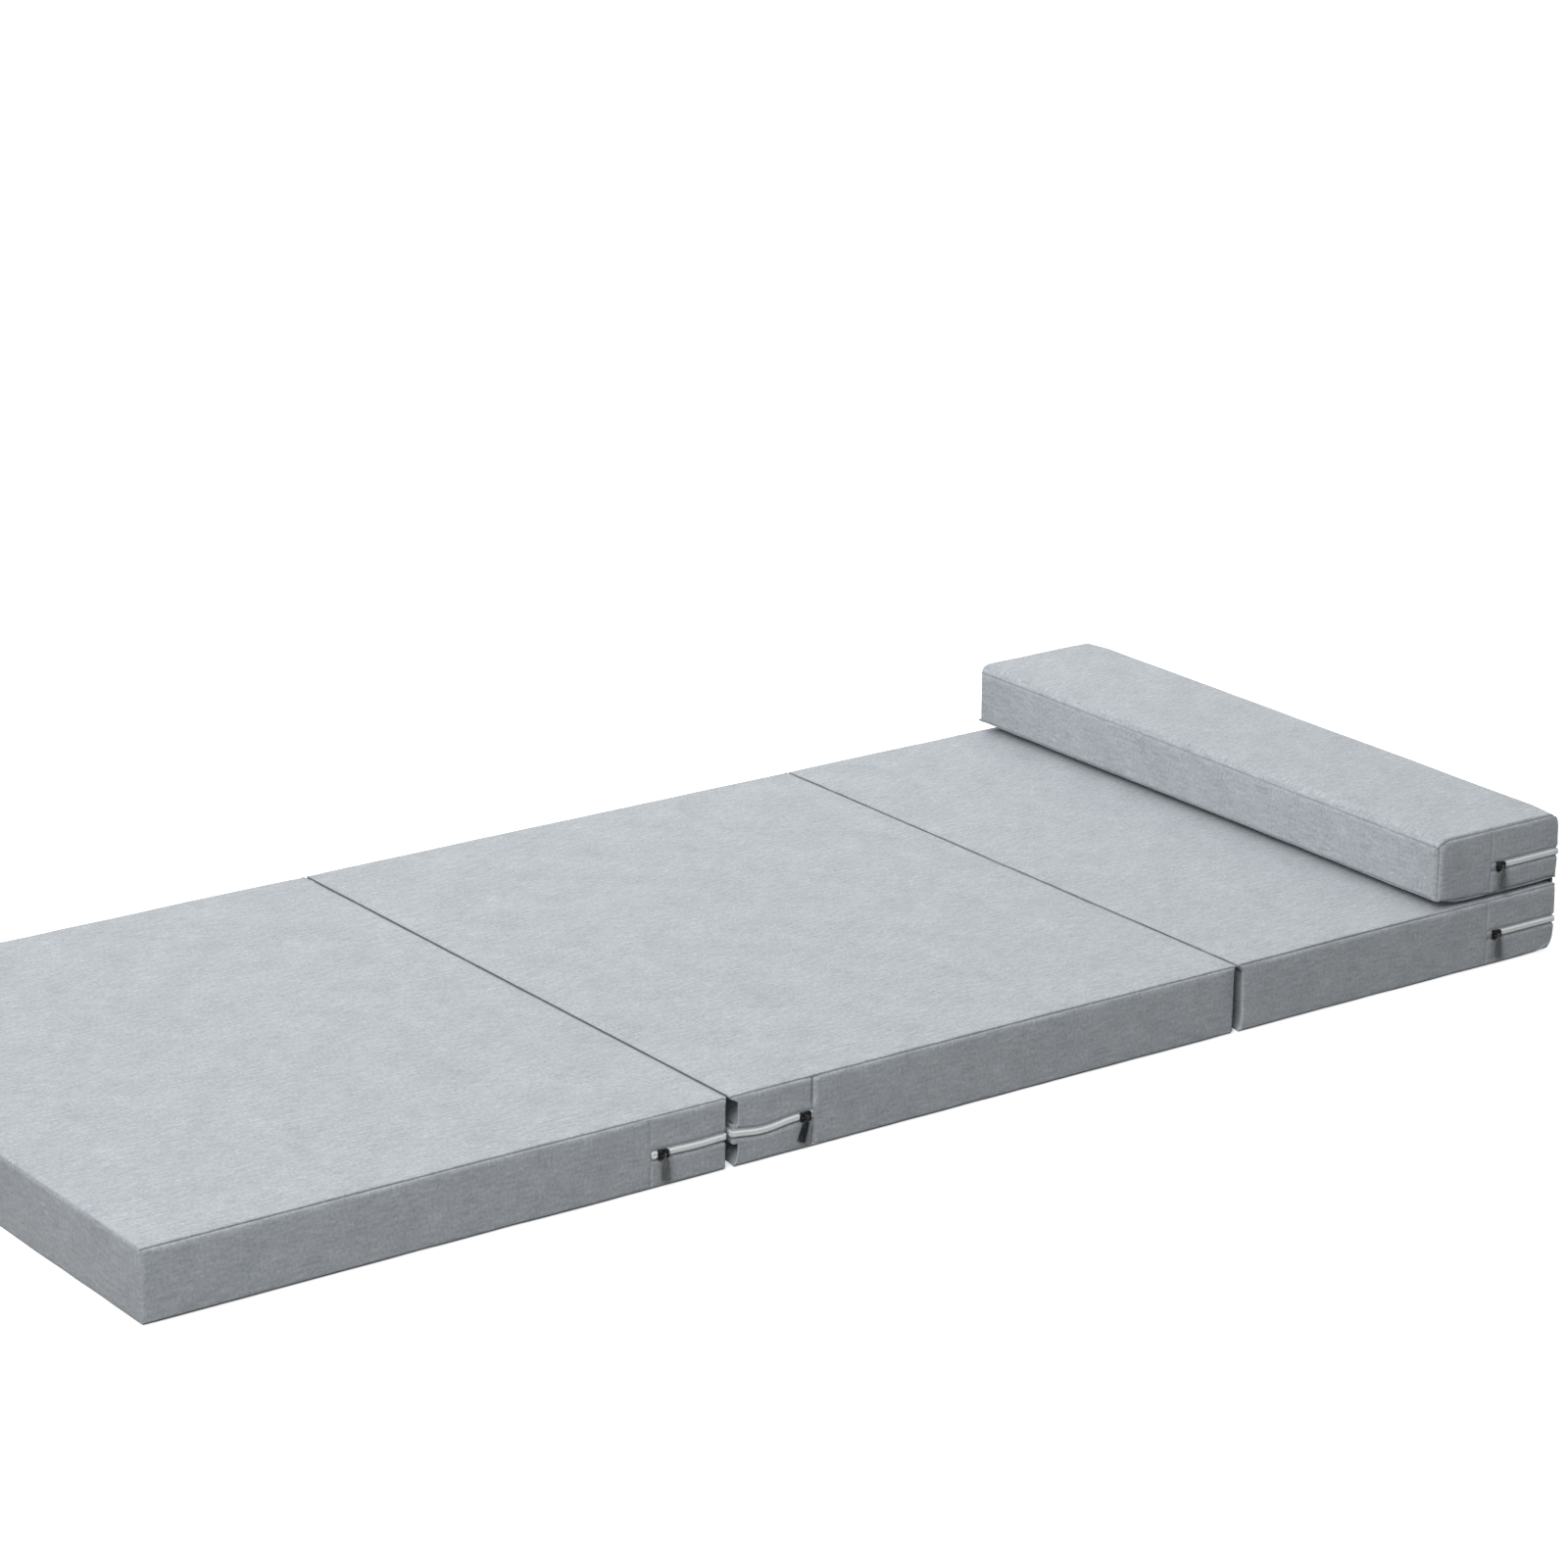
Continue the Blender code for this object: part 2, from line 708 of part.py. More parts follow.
def zip_frame(section):
    """Frame on the cover's near face at the slider: X towards the zipped end, Z out of the cover."""
    outward = Vector((0, section.near, 0))
    ahead = Vector((1, 0, 0))
    upright = outward.cross(ahead)
    local = Matrix((ahead, upright, outward)).transposed().to_4x4()
    local.translation = Vector((section.slider_x, section.near * SECTION_WIDTH / 2, section.zip_height))
    return section.placement @ local


def hang_down(frame):
    """Half a turn about the pull's outward axis where the frame's Y points down."""
    return Matrix.Identity(4) if frame.col[1].z > 0 else Matrix.Rotation(pi, 4, "Z")


# Sub-parts

def panel_limits(section):
    """Where each panel of the cover is cut, as a point on each seam and the way into the panel."""
    ahead = Vector((1, 0, 0))
    left = Vector((0, 1, 0))
    up = Vector((0, 0, 1))
    top = up * (plain_height() - TOP_EDGE_RADIUS * SEAM_DEPTH_SHARE)
    under = up * (UNDER_EDGE_RADIUS * SEAM_DEPTH_SHARE)
    seam = ahead * section.seam_x
    slot_top = up * (section.zip_height + ZIP_SLOT / 2 - SEAM_GAP / 2)
    slot_foot = up * (section.zip_height - ZIP_SLOT / 2 + SEAM_GAP / 2)
    band = [(under, up), (top, -up)]
    limits = {
        "top_panel": [(top, up)],
        "under_panel": [(under, -up)],
        "upper_zip_band": [(seam, ahead), (slot_top, up), (top, -up)],
        "lower_zip_band": [(seam, ahead), (under, up), (slot_foot, -up)],
        "end_panel": band + [(Vector(), -ahead)],
    }
    for word, side in (("near_side_panel", section.near), ("far_side_panel", -section.near)):
        corner = Vector((-section.end, side * SECTION_WIDTH / 2, 0))
        past_corner = (ahead + left * side).normalized()
        limits[word] = band + [(corner, past_corner), (seam, -ahead), (Vector(), left * side)]
        limits["end_panel"].append((corner, -past_corner))
    return limits


def build_cover(section, block, body, looks):
    for word, limits in panel_limits(section).items():
        panel(section, block, section.name + "_" + word, limits, looks["fabric"], body)


def build_core(section, block, body, looks):
    name = section.name + "_foam_core"
    core = piece(name, foam_mesh(section, block, name), looks["foam"], body, section.placement)
    room = swept_mesh(section, section.name + "_zip_room", channel_profile(), section.seam_x - OVERRUN)
    boolean(core, "DIFFERENCE", cutter(section.name + "_zip_room", room, section.placement))


def build_chain(section, body, looks):
    """The chain, with the slit at its closed end where the slider's neck parts the coil."""
    name = section.name + "_zip_chain"
    start = section.seam_x + CHAIN_START
    mesh = swept_mesh(section, name, chain_profile(), start)
    chain = piece(name, mesh, looks["chain"], body, section.placement)
    near_end = neck_loop(SLIT_PLAY)
    back = max(x for x, y in near_end)
    half = NECK_WIDTH / 2 + SLIT_PLAY
    reach = section.slider_x - start + OVERRUN
    slit = [(-reach, -half), (back - half, -half), (back, 0), (back - half, half), (-reach, half)]
    depth = tape_depth() + TAPE_THICKNESS + COIL_PROUD + 2 * OVERRUN
    tool = tidy(baked(helper(name + "_slit", flat_outline(name + "_slit", [slit], depth))))
    boolean(chain, "DIFFERENCE", cutter(name + "_slit", tool, zip_frame(section)))


def build_slider(section, body, looks):
    """Slider and pull, each hung from an empty on its own joint."""
    frame = zip_frame(section)
    name = section.name + "_zip_slider"
    slide = anchor(name + "_run", frame.translation, body)
    piece(name, slider_mesh(name, frame), looks["slider"], slide, frame)
    rod = frame @ Matrix.Translation((0, 0, rod_height()))
    swing = anchor(section.name + "_zip_pull_rod", rod.translation, slide)
    name = section.name + "_zip_pull"
    hang = rod @ hang_down(rod)
    lean = MIDDLE_PULL_LEAN if section.name == "middle" else 0
    piece(name, pull_mesh(name, lean, hang), looks["pull"], swing, hang)


def welt_loop(radius, blade):
    """Section of a hinge welt: the round cord, with the two seam edges flat below it."""
    loop = []
    half = WELT_BLADE / 2
    if not blade:
        return [(radius * cos(2 * pi * i / WELT_SIDES), radius * sin(2 * pi * i / WELT_SIDES))
                for i in range(WELT_SIDES)]
    turn = pi / 2 - asin(half / radius)
    for step in range(WELT_SIDES + 1):
        angle = -turn + (pi + 2 * turn) * step / WELT_SIDES
        loop.append((radius * cos(angle), radius * sin(angle)))
    return loop + [(-half, -blade), (half, -blade)]


def build_welt(name, place, radius, blade, upright, body, looks):
    length = SECTION_WIDTH - 2 * CORNER_RADIUS
    mesh = tidy(baked(helper(name, flat_outline(name, [welt_loop(radius, blade)], length))))
    lay = Matrix.Rotation(pi / 2 if upright else -pi / 2, 4, "X")
    piece(name, mesh, looks["welt"], body, Matrix.Translation(place) @ lay)


def build_welts(total, bodies, looks):
    """Cords in the grooves at the three fold lines."""
    hinges = hinge_points(total)
    radius = HINGE_GAP / 2 - SEAT_CLEARANCE
    foot = Vector((hinges["foot"].x, 0, plain_height() - WELT_DEPTH))
    build_welt("foot_hinge_welt", foot, radius, WELT_BLADE_DEPTH, True, bodies["middle"], looks)
    head = Vector((hinges["head"].x, 0, WELT_DEPTH))
    build_welt("head_hinge_welt", head, radius, WELT_BLADE_DEPTH, False, bodies["middle"], looks)
    over = Vector((total / 2 - WELT_DEPTH, 0, SECTION_THICKNESS + FOLD_CLEARANCE / 2))
    radius = CROWN + FOLD_CLEARANCE / 2 - SEAT_CLEARANCE
    build_welt("headrest_hinge_welt", over, radius, 0, True, bodies["head"], looks)


def build():
    looks = {
        "fabric": material("woven_fabric", (0.34, 0.37, 0.40), 0.95),
        "foam": material("foam", (0.86, 0.84, 0.76), 0.9),
        "chain": material("zip_chain", (0.80, 0.81, 0.80), 0.45),
        "slider": material("zip_slider", (0.06, 0.065, 0.07), 0.4, 0.8),
        "pull": material("zip_pull", (0.12, 0.13, 0.135), 0.5, 0.3),
        "welt": material("hinge_welt", (0.24, 0.26, 0.28), 0.95),
    }
    sections = in_a_row()
    total = FOOT_LENGTH + MIDDLE_LENGTH + HEAD_LENGTH + 2 * HINGE_GAP
    hinges = hinge_points(total)
    bodies = {"middle": anchor("middle_section", Vector((0, 0, 0)))}
    bodies["foot"] = anchor("foot_section", hinges["foot"], bodies["middle"])
    bodies["head"] = anchor("head_section", hinges["head"], bodies["middle"])
    bodies["headrest"] = anchor("headrest_section", hinges["headrest"], bodies["head"])
    for section in sections:
        block = plain_block(section)
        body = bodies[section.name]
        build_core(section, block, body, looks)
        build_cover(section, block, body, looks)
        build_chain(section, body, looks)
        build_slider(section, body, looks)
        bpy.data.meshes.remove(block)
    build_welts(total, bodies, looks)


empty_scene()
parts = collection(MODEL)
cutters = collection("cutters")
build()
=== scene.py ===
"""The folding mattress of the photograph: soft covers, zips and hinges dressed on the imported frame.

Metres, in the frame of the CAD. Each section is shaped in its own frame, as the CAD's source does:
zipped end at +X, underside on z = 0, and a matrix then lays it in its place.
"""

import copy
from math import cos, pi, sin

import bmesh
import bpy
import numpy as np
from mathutils import Matrix, Vector, noise
from mathutils.kdtree import KDTree


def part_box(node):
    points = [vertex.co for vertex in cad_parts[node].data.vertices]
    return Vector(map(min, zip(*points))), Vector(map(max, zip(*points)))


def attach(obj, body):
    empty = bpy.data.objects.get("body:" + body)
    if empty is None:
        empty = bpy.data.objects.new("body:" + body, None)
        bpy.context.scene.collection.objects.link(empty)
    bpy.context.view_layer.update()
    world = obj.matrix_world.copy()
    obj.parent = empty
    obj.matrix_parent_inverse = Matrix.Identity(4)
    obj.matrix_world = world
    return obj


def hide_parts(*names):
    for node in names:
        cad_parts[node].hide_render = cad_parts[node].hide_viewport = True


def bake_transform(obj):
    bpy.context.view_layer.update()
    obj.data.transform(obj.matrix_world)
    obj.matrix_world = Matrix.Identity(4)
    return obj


# Camera, fitted to edges measured in the photograph
CAMERA_PLACE = (-2.89176, -4.11845, 1.88766)
CAMERA_RIGHT = (0.808373, -0.588608, 0.008562)
CAMERA_DOWN = (-0.175826, -0.255302, -0.950740)
CAMERA_LENS = 115.98
SENSOR = 36.0

# Soft form of a section
CROWN = 0.002
CROWN_POWER = 6
SIDE_DRAW_IN = 0.0008
END_DRAW_IN = 0.0012
END_REACH = 0.030
TOP_ROUND = 0.0032
UNDER_ROUND = 0.004
JOINED_ROUND = 0.0011
JOINED_UNDER = 0.003
CORNER_ROUND = 0.0035
CRISP_CORNER = 0.003
HINGED_ROUND = 0.0012
LIFT_SHARE = 0.35
ZONE_SPARE = 0.0015
ZONE_STEPS = (0.08, 0.35, 1.0)
SKIN = 0.0003
FABRIC = 0.0009
TINY = 1e-9

# Ends beside a neighbour: a lip at the top all but closes the joint, and the face below is tucked in,
# more so at the corners, but hardly where the zip holds it
LIP_OUT = 0.0004
LIP_DEPTH = 0.0024
TUCK_FROM = 0.0030
TUCK_RUN = 0.0080
TUCK_REACH = 0.060
HOLLOW_RUN = 0.012
FOOT_SHARE = 0.35
FOOT_RUN = 0.012
HELD_BAND = 0.00682
HELD_SHARE = 0.8

# Ends that stand free: the far edge curls down, and the zipped end's lower corners fall away
CURL_REACH = 0.040
DROP_RUN = 0.020
DROP_REACH = 0.040

# Sag of the zip's stretch on the sides
SAG_FROM = 0.02
SAG_BAND = 0.014

# How the cover is cut into panels. A seam's share says how far up a round it lies.
SEAM_SHARE = 0.364
LOW_SEAM_SHARE = 0.839
SEAM_HALF = 0.00002
SLOT = 0.012
GRID = 0.014
ROUND_SHARES = (0.0, 0.18, SEAM_SHARE, 0.6, LOW_SEAM_SHARE, 1.0)
WIDE_SHARES = (0.0, 0.09, 0.18, 0.27, SEAM_SHARE, 0.48, 0.6, 0.72, LOW_SEAM_SHARE, 0.92, 1.0)
WIDE_ROUND = 0.020
BESIDE_SEAM = (0.0002, 0.0007, 0.0016, 0.003, 0.006)
UPPER_BAND_SHARES = (0.35, 0.6, 0.8)

# Seams as valleys in the cloth, and the shares of the depth that most seams and the zip's edges have
VALLEY_DEPTH = 0.0026
VALLEY_WIDTH = 0.0016
VALLEY_POWER = 1.6
FAINT = 0.25
ZIP_EDGE = 0.15
ZIP_EDGE_START = 0.003
ZIP_SEAM_REACH = 0.012

# Forms by section: radii of the rounds by end and face, corners, tucks and the strengths of the seams
PLAIN = {"end_top": TOP_ROUND, "end_under": UNDER_ROUND, "end_corner": CORNER_ROUND,
         "far_top": TOP_ROUND, "far_under": UNDER_ROUND, "far_corner": CORNER_ROUND,
         "side_top": TOP_ROUND, "side_under": UNDER_ROUND, "end_tuck": None, "far_tuck": None,
         "tucked_end": 1, "corner_tuck": 0.0, "corner_hollow": 0.0, "corner_drop": 0.0,
         "end_out": 0.0, "far_curl": 0.0, "zip_sag": 0.0, "open_zip": False,
         "under_share": LOW_SEAM_SHARE, "corner_seam": FAINT, "far_seam": FAINT, "under_seam": FAINT,
         "end_seam": FAINT, "zip_seam": FAINT}
FORMS = {
    "foot": {"end_top": JOINED_ROUND, "end_under": JOINED_UNDER, "end_corner": CRISP_CORNER,
             "far_corner": 0.004, "end_tuck": 0.0008, "zip_sag": 0.0008, "open_zip": True},
    "middle": {"end_top": JOINED_ROUND, "end_under": JOINED_UNDER, "end_corner": CRISP_CORNER,
               "far_top": JOINED_ROUND, "far_under": JOINED_UNDER, "far_corner": CRISP_CORNER,
               "end_tuck": 0.0008, "far_tuck": 0.0010, "corner_tuck": 0.0088, "corner_hollow": 0.013,
               "zip_sag": 0.0035, "open_zip": True, "zip_seam": 1.9},
    "head": {"end_top": HINGED_ROUND, "end_under": 0.022, "end_out": 0.0004, "corner_drop": 0.010,
             "far_top": JOINED_ROUND, "far_under": JOINED_UNDER, "far_corner": 0.006,
             "far_tuck": 0.0012, "tucked_end": -1, "corner_tuck": 0.0040, "corner_hollow": 0.008},
    "headrest": {"end_top": HINGED_ROUND, "end_under": 0.012, "end_out": 0.0004, "corner_drop": 0.006,
                 "far_top": 0.0015, "far_under": 0.016, "far_corner": 0.010, "far_curl": 0.006,
                 "side_under": 0.005, "under_share": SEAM_SHARE, "far_seam": 1.75, "under_seam": 0.8,
                 "end_seam": 0.0, "corner_seam": 0.5},
}

# Puffing up and wrinkles of the cloth
PUFF_START = 0.0004
PUFF_MOST = 0.0018
PUFF_GRID = 0.024
PUFF_FRAMES = 20
PUFF_PRESSURE = 4.0
PIN_STIFFNESS = 3
FACE_PIN = 0.12
EDGE_PIN = 0.9
WAVE_HEIGHT = 0.0004
WAVE_LENGTH = 0.13
PUCKER_HEIGHT = 0.0006
PUCKER_LENGTH = 0.034
PUCKER_REACH = 0.016

# Foam and hinges. A trough is the outline of a hinge's strip: across the joint, and down into it.
FOAM_INSET = 0.0055
FOAM_ROUND = 0.012
FOAM_GRID = 0.05
HINGE_CORD_SIDES = 10
HINGE_SPARE = 0.0035
HINGE_ROWS = 60
HINGE_SWAY = 0.0002
ROW_CORD = (0.0036, 0.0009)
ROW_TROUGH = ((-0.0014, 0.0010), (-0.0009, 0.0016), (0.0, 0.0021), (0.0009, 0.0016),
              (0.0014, 0.0010))
BACK_TROUGH = ((-0.0060, 0.0004), (-0.0030, 0.0002), (-0.0010, 0.0006), (0.0010, 0.0006),
               (0.0030, 0.0002), (0.0060, 0.0004))

# Zip: tape, coil and the stitching beside it. Profiles run across the zip, as shares of a half width or
# of a stitch's length, and then outwards, in metres or in widths of the thread.
TRACK_STEP = 0.0015
TRACK_START = 0.0008
TAPE_HALF = 0.0105
TAPE_SINK = 0.0011
TAPE_TUCK = 0.0016
TAPE_STEP = 0.006
TAPE_PROFILE = ((-1.0, 0.0), (-0.5, 0.0), (-0.31, 0.0001), (-0.27, 0.0005), (0.0, 0.0003),
                (0.27, 0.0005), (0.31, 0.0001), (0.5, 0.0), (1.0, 0.0))
CALM_BAND = 0.016
COIL_PITCH = 0.0015
COIL_HALF = 0.0031
COIL_WIRE = 0.00050
COIL_SIDES = 4
COIL_PARTED = 0.0011
COIL_PROFILE = ((1.0, -0.0016), (0.96, 0.00007), (0.62, 0.000434), (0.12, 0.00042), (-0.16, -0.0002))
BED_PROFILE = ((-1, -0.0012), (-0.85, -0.0002), (0.85, -0.0002), (1, -0.0012))
BED_STEP = 0.004
IN_SLIDER = 0.001
TRACK_END = 0.0005
STITCH_PITCH = 0.0034
STITCH_LENGTH = 0.0025
STITCH_WIRE = 0.00026
STITCH_FROM_SLOT = 0.0026
STITCH_SIDES = 5
STITCH_PROFILE = ((-0.5, -0.6, 0.5), (-0.34, 0.5, 1.0), (0.34, 0.5, 1.0), (0.5, -0.6, 0.5))

# Weave: the thread's width, and how long a streak of one colour runs along it
THREAD = 0.0009
STREAK = 0.011
CLOTH_DARK = (0.334, 0.366, 0.397)
CLOTH_MIDDLE = (0.490, 0.520, 0.550)
CLOTH_LIGHT = (0.655, 0.690, 0.720)
# The hinge cloth's dark is painted shade: the strip at the top of each joint is darkened so that the
# joint shows as a shadowed line
HINGE_PAINTED_SHADE = (0.100, 0.112, 0.124)

# Light: each lamp's place and power, and the floor's brightness to the camera and to the object
SKY = 0.45
LIGHTS = {"key": ((0.3, 1.5, 2.3), 22.0), "fill": ((-3.4, -2.8, 3.6), 165.0),
          "side": ((-2.1, 1.3, 2.1), 8.0), "back": ((1.6, 1.8, 1.8), 17.0)}
LIGHT_SIZE = 2.4
FLOOR_SIZE = 14.0
FLOOR_GAP = 0.0004
FLOOR_BOUNCE = 0.05
FLOOR_SHOWN = 0.8
FLOOR_GLOW = 0.66

PANELS = ("top_panel", "under_panel", "near_side_panel", "far_side_panel", "end_panel",
          "upper_zip_band", "lower_zip_band")

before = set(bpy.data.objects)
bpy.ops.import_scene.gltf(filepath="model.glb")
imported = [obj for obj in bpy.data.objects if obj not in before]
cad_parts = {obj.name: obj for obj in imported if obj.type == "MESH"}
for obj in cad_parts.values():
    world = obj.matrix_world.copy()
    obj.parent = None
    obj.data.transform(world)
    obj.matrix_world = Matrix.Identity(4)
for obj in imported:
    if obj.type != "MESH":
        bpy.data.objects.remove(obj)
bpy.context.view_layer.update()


# Small helpers

def smooth(share):
    share = np.clip(share, 0, 1)
    return share * share * (3 - 2 * share)


def new_object(name, data):
    made = bpy.data.objects.new(name, data)
    bpy.context.scene.collection.objects.link(made)
    return made


def shade_smooth(mesh):
    mesh.polygons.foreach_set("use_smooth", [True] * len(mesh.polygons))


def points_of(mesh):
    flat = np.empty(len(mesh.vertices) * 3)
    mesh.vertices.foreach_get("co", flat)
    return flat.reshape(-1, 3)


def set_points(mesh, points):
    mesh.vertices.foreach_set("co", np.ascontiguousarray(points, float).ravel())
    mesh.update()


def tree_of(points, numbers):
    tree = KDTree(len(numbers))
    for number in numbers:
        tree.insert(points[number], number)
    tree.balance()
    return tree


def strip_faces(rows, width, start, turned_over):
    """The faces of a grid of points that are numbered row by row from a first index."""
    faces = []
    for i in range(rows - 1):
        for j in range(width - 1):
            corner = start + i * width + j
            loop = (corner, corner + width, corner + width + 1, corner + 1)
            faces.append(loop[::-1] if turned_over else loop)
    return faces


def mesh_piece(name, points, faces, material, lay=Matrix()):
    mesh = bpy.data.meshes.new(name)
    mesh.from_pydata([tuple(point) for point in points], [], faces)
    mesh.transform(lay)
    shade_smooth(mesh)
    mesh.materials.append(material)
    return new_object(name, mesh)


def unit(rows):
    return rows / np.maximum(np.linalg.norm(rows, axis=1, keepdims=True), TINY)


# Sections

class Section:
    """One foam section: its sizes read from the frame, its form, and the matrix that lays it down."""

    def __init__(self, name, lay):
        self.name = name
        self.body = name + "_section"
        self.form = {**PLAIN, **FORMS[name]}
        boxes = [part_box(name + "_" + word) for word in PANELS]
        low, high = np.min([box[0] for box in boxes], axis=0), np.max([box[1] for box in boxes], axis=0)
        middle = (low + high) / 2
        lift = high[2] if lay == "upended" else low[2]
        turn = {"upright": Matrix(), "turned": Matrix.Rotation(pi, 4, "Z"),
                "upended": Matrix.Rotation(pi, 4, "X")}[lay]
        self.lay = Matrix.Translation((middle[0], middle[1], lift)) @ turn
        self.end = (high[0] - low[0]) / 2
        self.side = (high[1] - low[1]) / 2
        self.height = high[2] - low[2] - CROWN
        self.seam_x = self.inner_box("_upper_zip_band")[0][0]
        self.zip_z = sum(corner[2] for corner in self.inner_box("_zip_chain")) / 2
        self.near = -1 if sum(corner[1] for corner in self.inner_box("_near_side_panel")) < 0 else 1
        self.find_zones()

    def find_zones(self):
        """How far the rounds reach in from each side of the nominal box."""
        form = self.form
        self.zone_x = {end: max(form[word + "_top"], form[word + "_under"], form[word + "_corner"])
                       for end, word in ((1, "end"), (-1, "far"))}
        self.zone_y = max(form[word] for word in ("side_top", "side_under", "end_corner", "far_corner"))
        self.zone_z = {face: max(form[word + kind] for word in ("end", "far", "side"))
                       for face, kind in ((1, "_top"), (-1, "_under"))}

    def inner_box(self, word):
        """The lowest and the highest corner of a CAD node, in the section's own frame."""
        corners = [self.lay.inverted() @ Vector(corner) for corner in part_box(self.name + word)]
        return [min(pair) for pair in zip(*corners)], [max(pair) for pair in zip(*corners)]

    def core(self):
        """The foam block inside the cover: smaller all round, and nowhere crisper than foam can be."""
        block = copy.copy(self)
        block.end, block.side = self.end - FOAM_INSET, self.side - FOAM_INSET
        block.height = self.height - 2 * FOAM_INSET
        rounds = [word for word in self.form if word.endswith(("_top", "_under", "_corner"))]
        block.form = {**self.form, **{word: max(self.form[word], FOAM_ROUND) for word in rounds}}
        block.find_zones()
        return block


def rounded(section, nominal):
    """Where points of the nominal box lie on the section's rounded block, and the normals there."""
    form = section.form
    half = np.array([section.end, section.side, section.height / 2])
    centred = nominal - [0, 0, half[2]]
    sign = np.where(centred < 0, -1.0, 1.0)
    gap = half - np.abs(centred)
    ahead, above = sign[:, 0] > 0, sign[:, 2] > 0
    zones = np.column_stack([np.where(ahead, section.zone_x[1], section.zone_x[-1]),
                             np.full(len(nominal), section.zone_y),
                             np.where(above, section.zone_z[1], section.zone_z[-1])])
    share = np.clip(1 - gap / zones, 0, 1)
    along_y = np.where(ahead, np.where(above, form["end_top"], form["end_under"]),
                       np.where(above, form["far_top"], form["far_under"]))
    along_x = np.where(above, form["side_top"], form["side_under"])
    upright = np.where(ahead, form["end_corner"], form["far_corner"])
    lift = smooth(share[:, 2] / LIFT_SHARE)
    radius = np.empty_like(gap)
    radius[:, 0] = upright + (along_y - upright) * lift
    radius[:, 1] = upright + (along_x - upright) * lift
    both = share[:, 0] + share[:, 1]
    weight = np.where(both > TINY, share[:, 0] / np.maximum(both, TINY), 0.5)
    radius[:, 2] = along_y * weight + along_x * (1 - weight)
    # Between the round and the flat the nominal box is stretched to fit the local radius
    outer = zones + ZONE_SPARE
    stretched = radius + (gap - zones) / ZONE_SPARE * (outer - radius)
    true_gap = np.where(gap < zones, gap * radius / zones, np.where(gap < outer, stretched, gap))
    core_gap = np.maximum(true_gap, radius * (share > 0))
    core = sign * (half - core_gap)
    direction = sign * unit(share)
    return core + direction * radius + [0, 0, half[2]], unit(direction / radius)


def end_shift(section, points, end):
    """How far an end of the section stands out: the lip and the tuck where it has a neighbour."""
    form = section.form
    across = points[:, 1] / section.side
    inside = (1 - np.abs(across)) * section.side
    tuck = form["end_tuck" if end > 0 else "far_tuck"]
    if tuck is None and end > 0:
        low = np.clip(1 - points[:, 2] / DROP_RUN, 0, 1)
        return form["end_out"] - form["corner_drop"] * low ** 2 * smooth(1 - inside / DROP_REACH)
    if tuck is None:
        return -END_DRAW_IN * (1 - across ** 2)
    if end == form["tucked_end"]:
        corner = form["corner_tuck"] + form["corner_hollow"] * smooth(inside / HOLLOW_RUN)
        foot_share = FOOT_SHARE + (1 - FOOT_SHARE) * smooth(points[:, 2] / FOOT_RUN)
        corner *= np.exp(-(inside / TUCK_REACH) ** 2) * foot_share
        held = np.exp(-((points[:, 2] - section.zip_z) / HELD_BAND) ** 2) * (end > 0)
        tuck = tuck + corner * (1 - HELD_SHARE * held)
    depth = section.height - points[:, 2]
    lip = LIP_OUT * np.exp(-(depth / LIP_DEPTH) ** 2)
    return lip - tuck * smooth((depth - TUCK_FROM) / TUCK_RUN)


def softened(section, points):
    """Adds the crown, the sides drawn in between their seams, the ends' own forms and the zip's sag."""
    across = points[:, 1] / section.side
    along = points[:, 0] / section.end
    crown = CROWN * np.clip((1 - along ** CROWN_POWER) * (1 - across ** CROWN_POWER), 0, 1)
    way = np.clip((points[:, 0] + section.end) / (section.seam_x + section.end), 0, 1)
    narrow = SIDE_DRAW_IN * np.sin(pi * way) ** 2 / section.side
    x = points[:, 0].copy()
    for end in (-1, 1):
        reach = smooth(1 - (section.end - points[:, 0] * end) / END_REACH)
        x += end * reach * end_shift(section, points, end)
    sag_start = section.seam_x + SAG_FROM
    stretch = np.clip((points[:, 0] - sag_start) / (section.end - sag_start), 0, 1)
    sag = section.form["zip_sag"] * np.sin(pi * stretch) ** 2
    sag *= np.exp(-((points[:, 2] - section.zip_z) / SAG_BAND) ** 4) * np.abs(across) ** 20
    curl = section.form["far_curl"] * smooth(1 - (section.end + points[:, 0]) / CURL_REACH)
    lower = sag + curl * (points[:, 2] / section.height) ** 3
    return np.column_stack([x, points[:, 1] * (1 - narrow),
                            points[:, 2] * (1 + crown / section.height) - lower])


# Panels: grids on the faces of the nominal box

LEVEL, NEAR, FAR, ZIPPED, PLAIN_END = range(5)


def zone_lines(face, zone, way):
    """Grid lines on the round beside a face, and a few just past it that keep the flat part flat."""
    shares = WIDE_SHARES if zone > WIDE_ROUND else ROUND_SHARES
    return ([face + way * zone * (1 - share) for share in shares]
            + [face + way * (zone + ZONE_SPARE * step) for step in ZONE_STEPS])


def stations(low, high, low_zone, high_zone, seams=(), step=GRID):
    """Grid lines between two faces: close on the rounds and beside the seams, evenly spread between."""
    start, stop = low + low_zone + ZONE_SPARE, high - high_zone - ZONE_SPARE
    count = max(1, round((stop - start) / step))
    inner = [start + (stop - start) * i / count for i in range(count + 1)]
    close = []
    for seam in seams:
        close += [seam] + [seam + side * d for d in BESIDE_SEAM for side in (-1, 1)]
    inner = [x for x in inner if all(abs(x - seam) > BESIDE_SEAM[-1] * 1.4 for seam in seams)]
    ends = zone_lines(low, low_zone, 1) + zone_lines(high, high_zone, -1)
    return sorted(set(round(x, 7) for x in inner + close + ends))


def between(values, low, high):
    kept = [x for x in values if low + 1e-6 < x < high - 1e-6]
    return [low] + kept + [high]


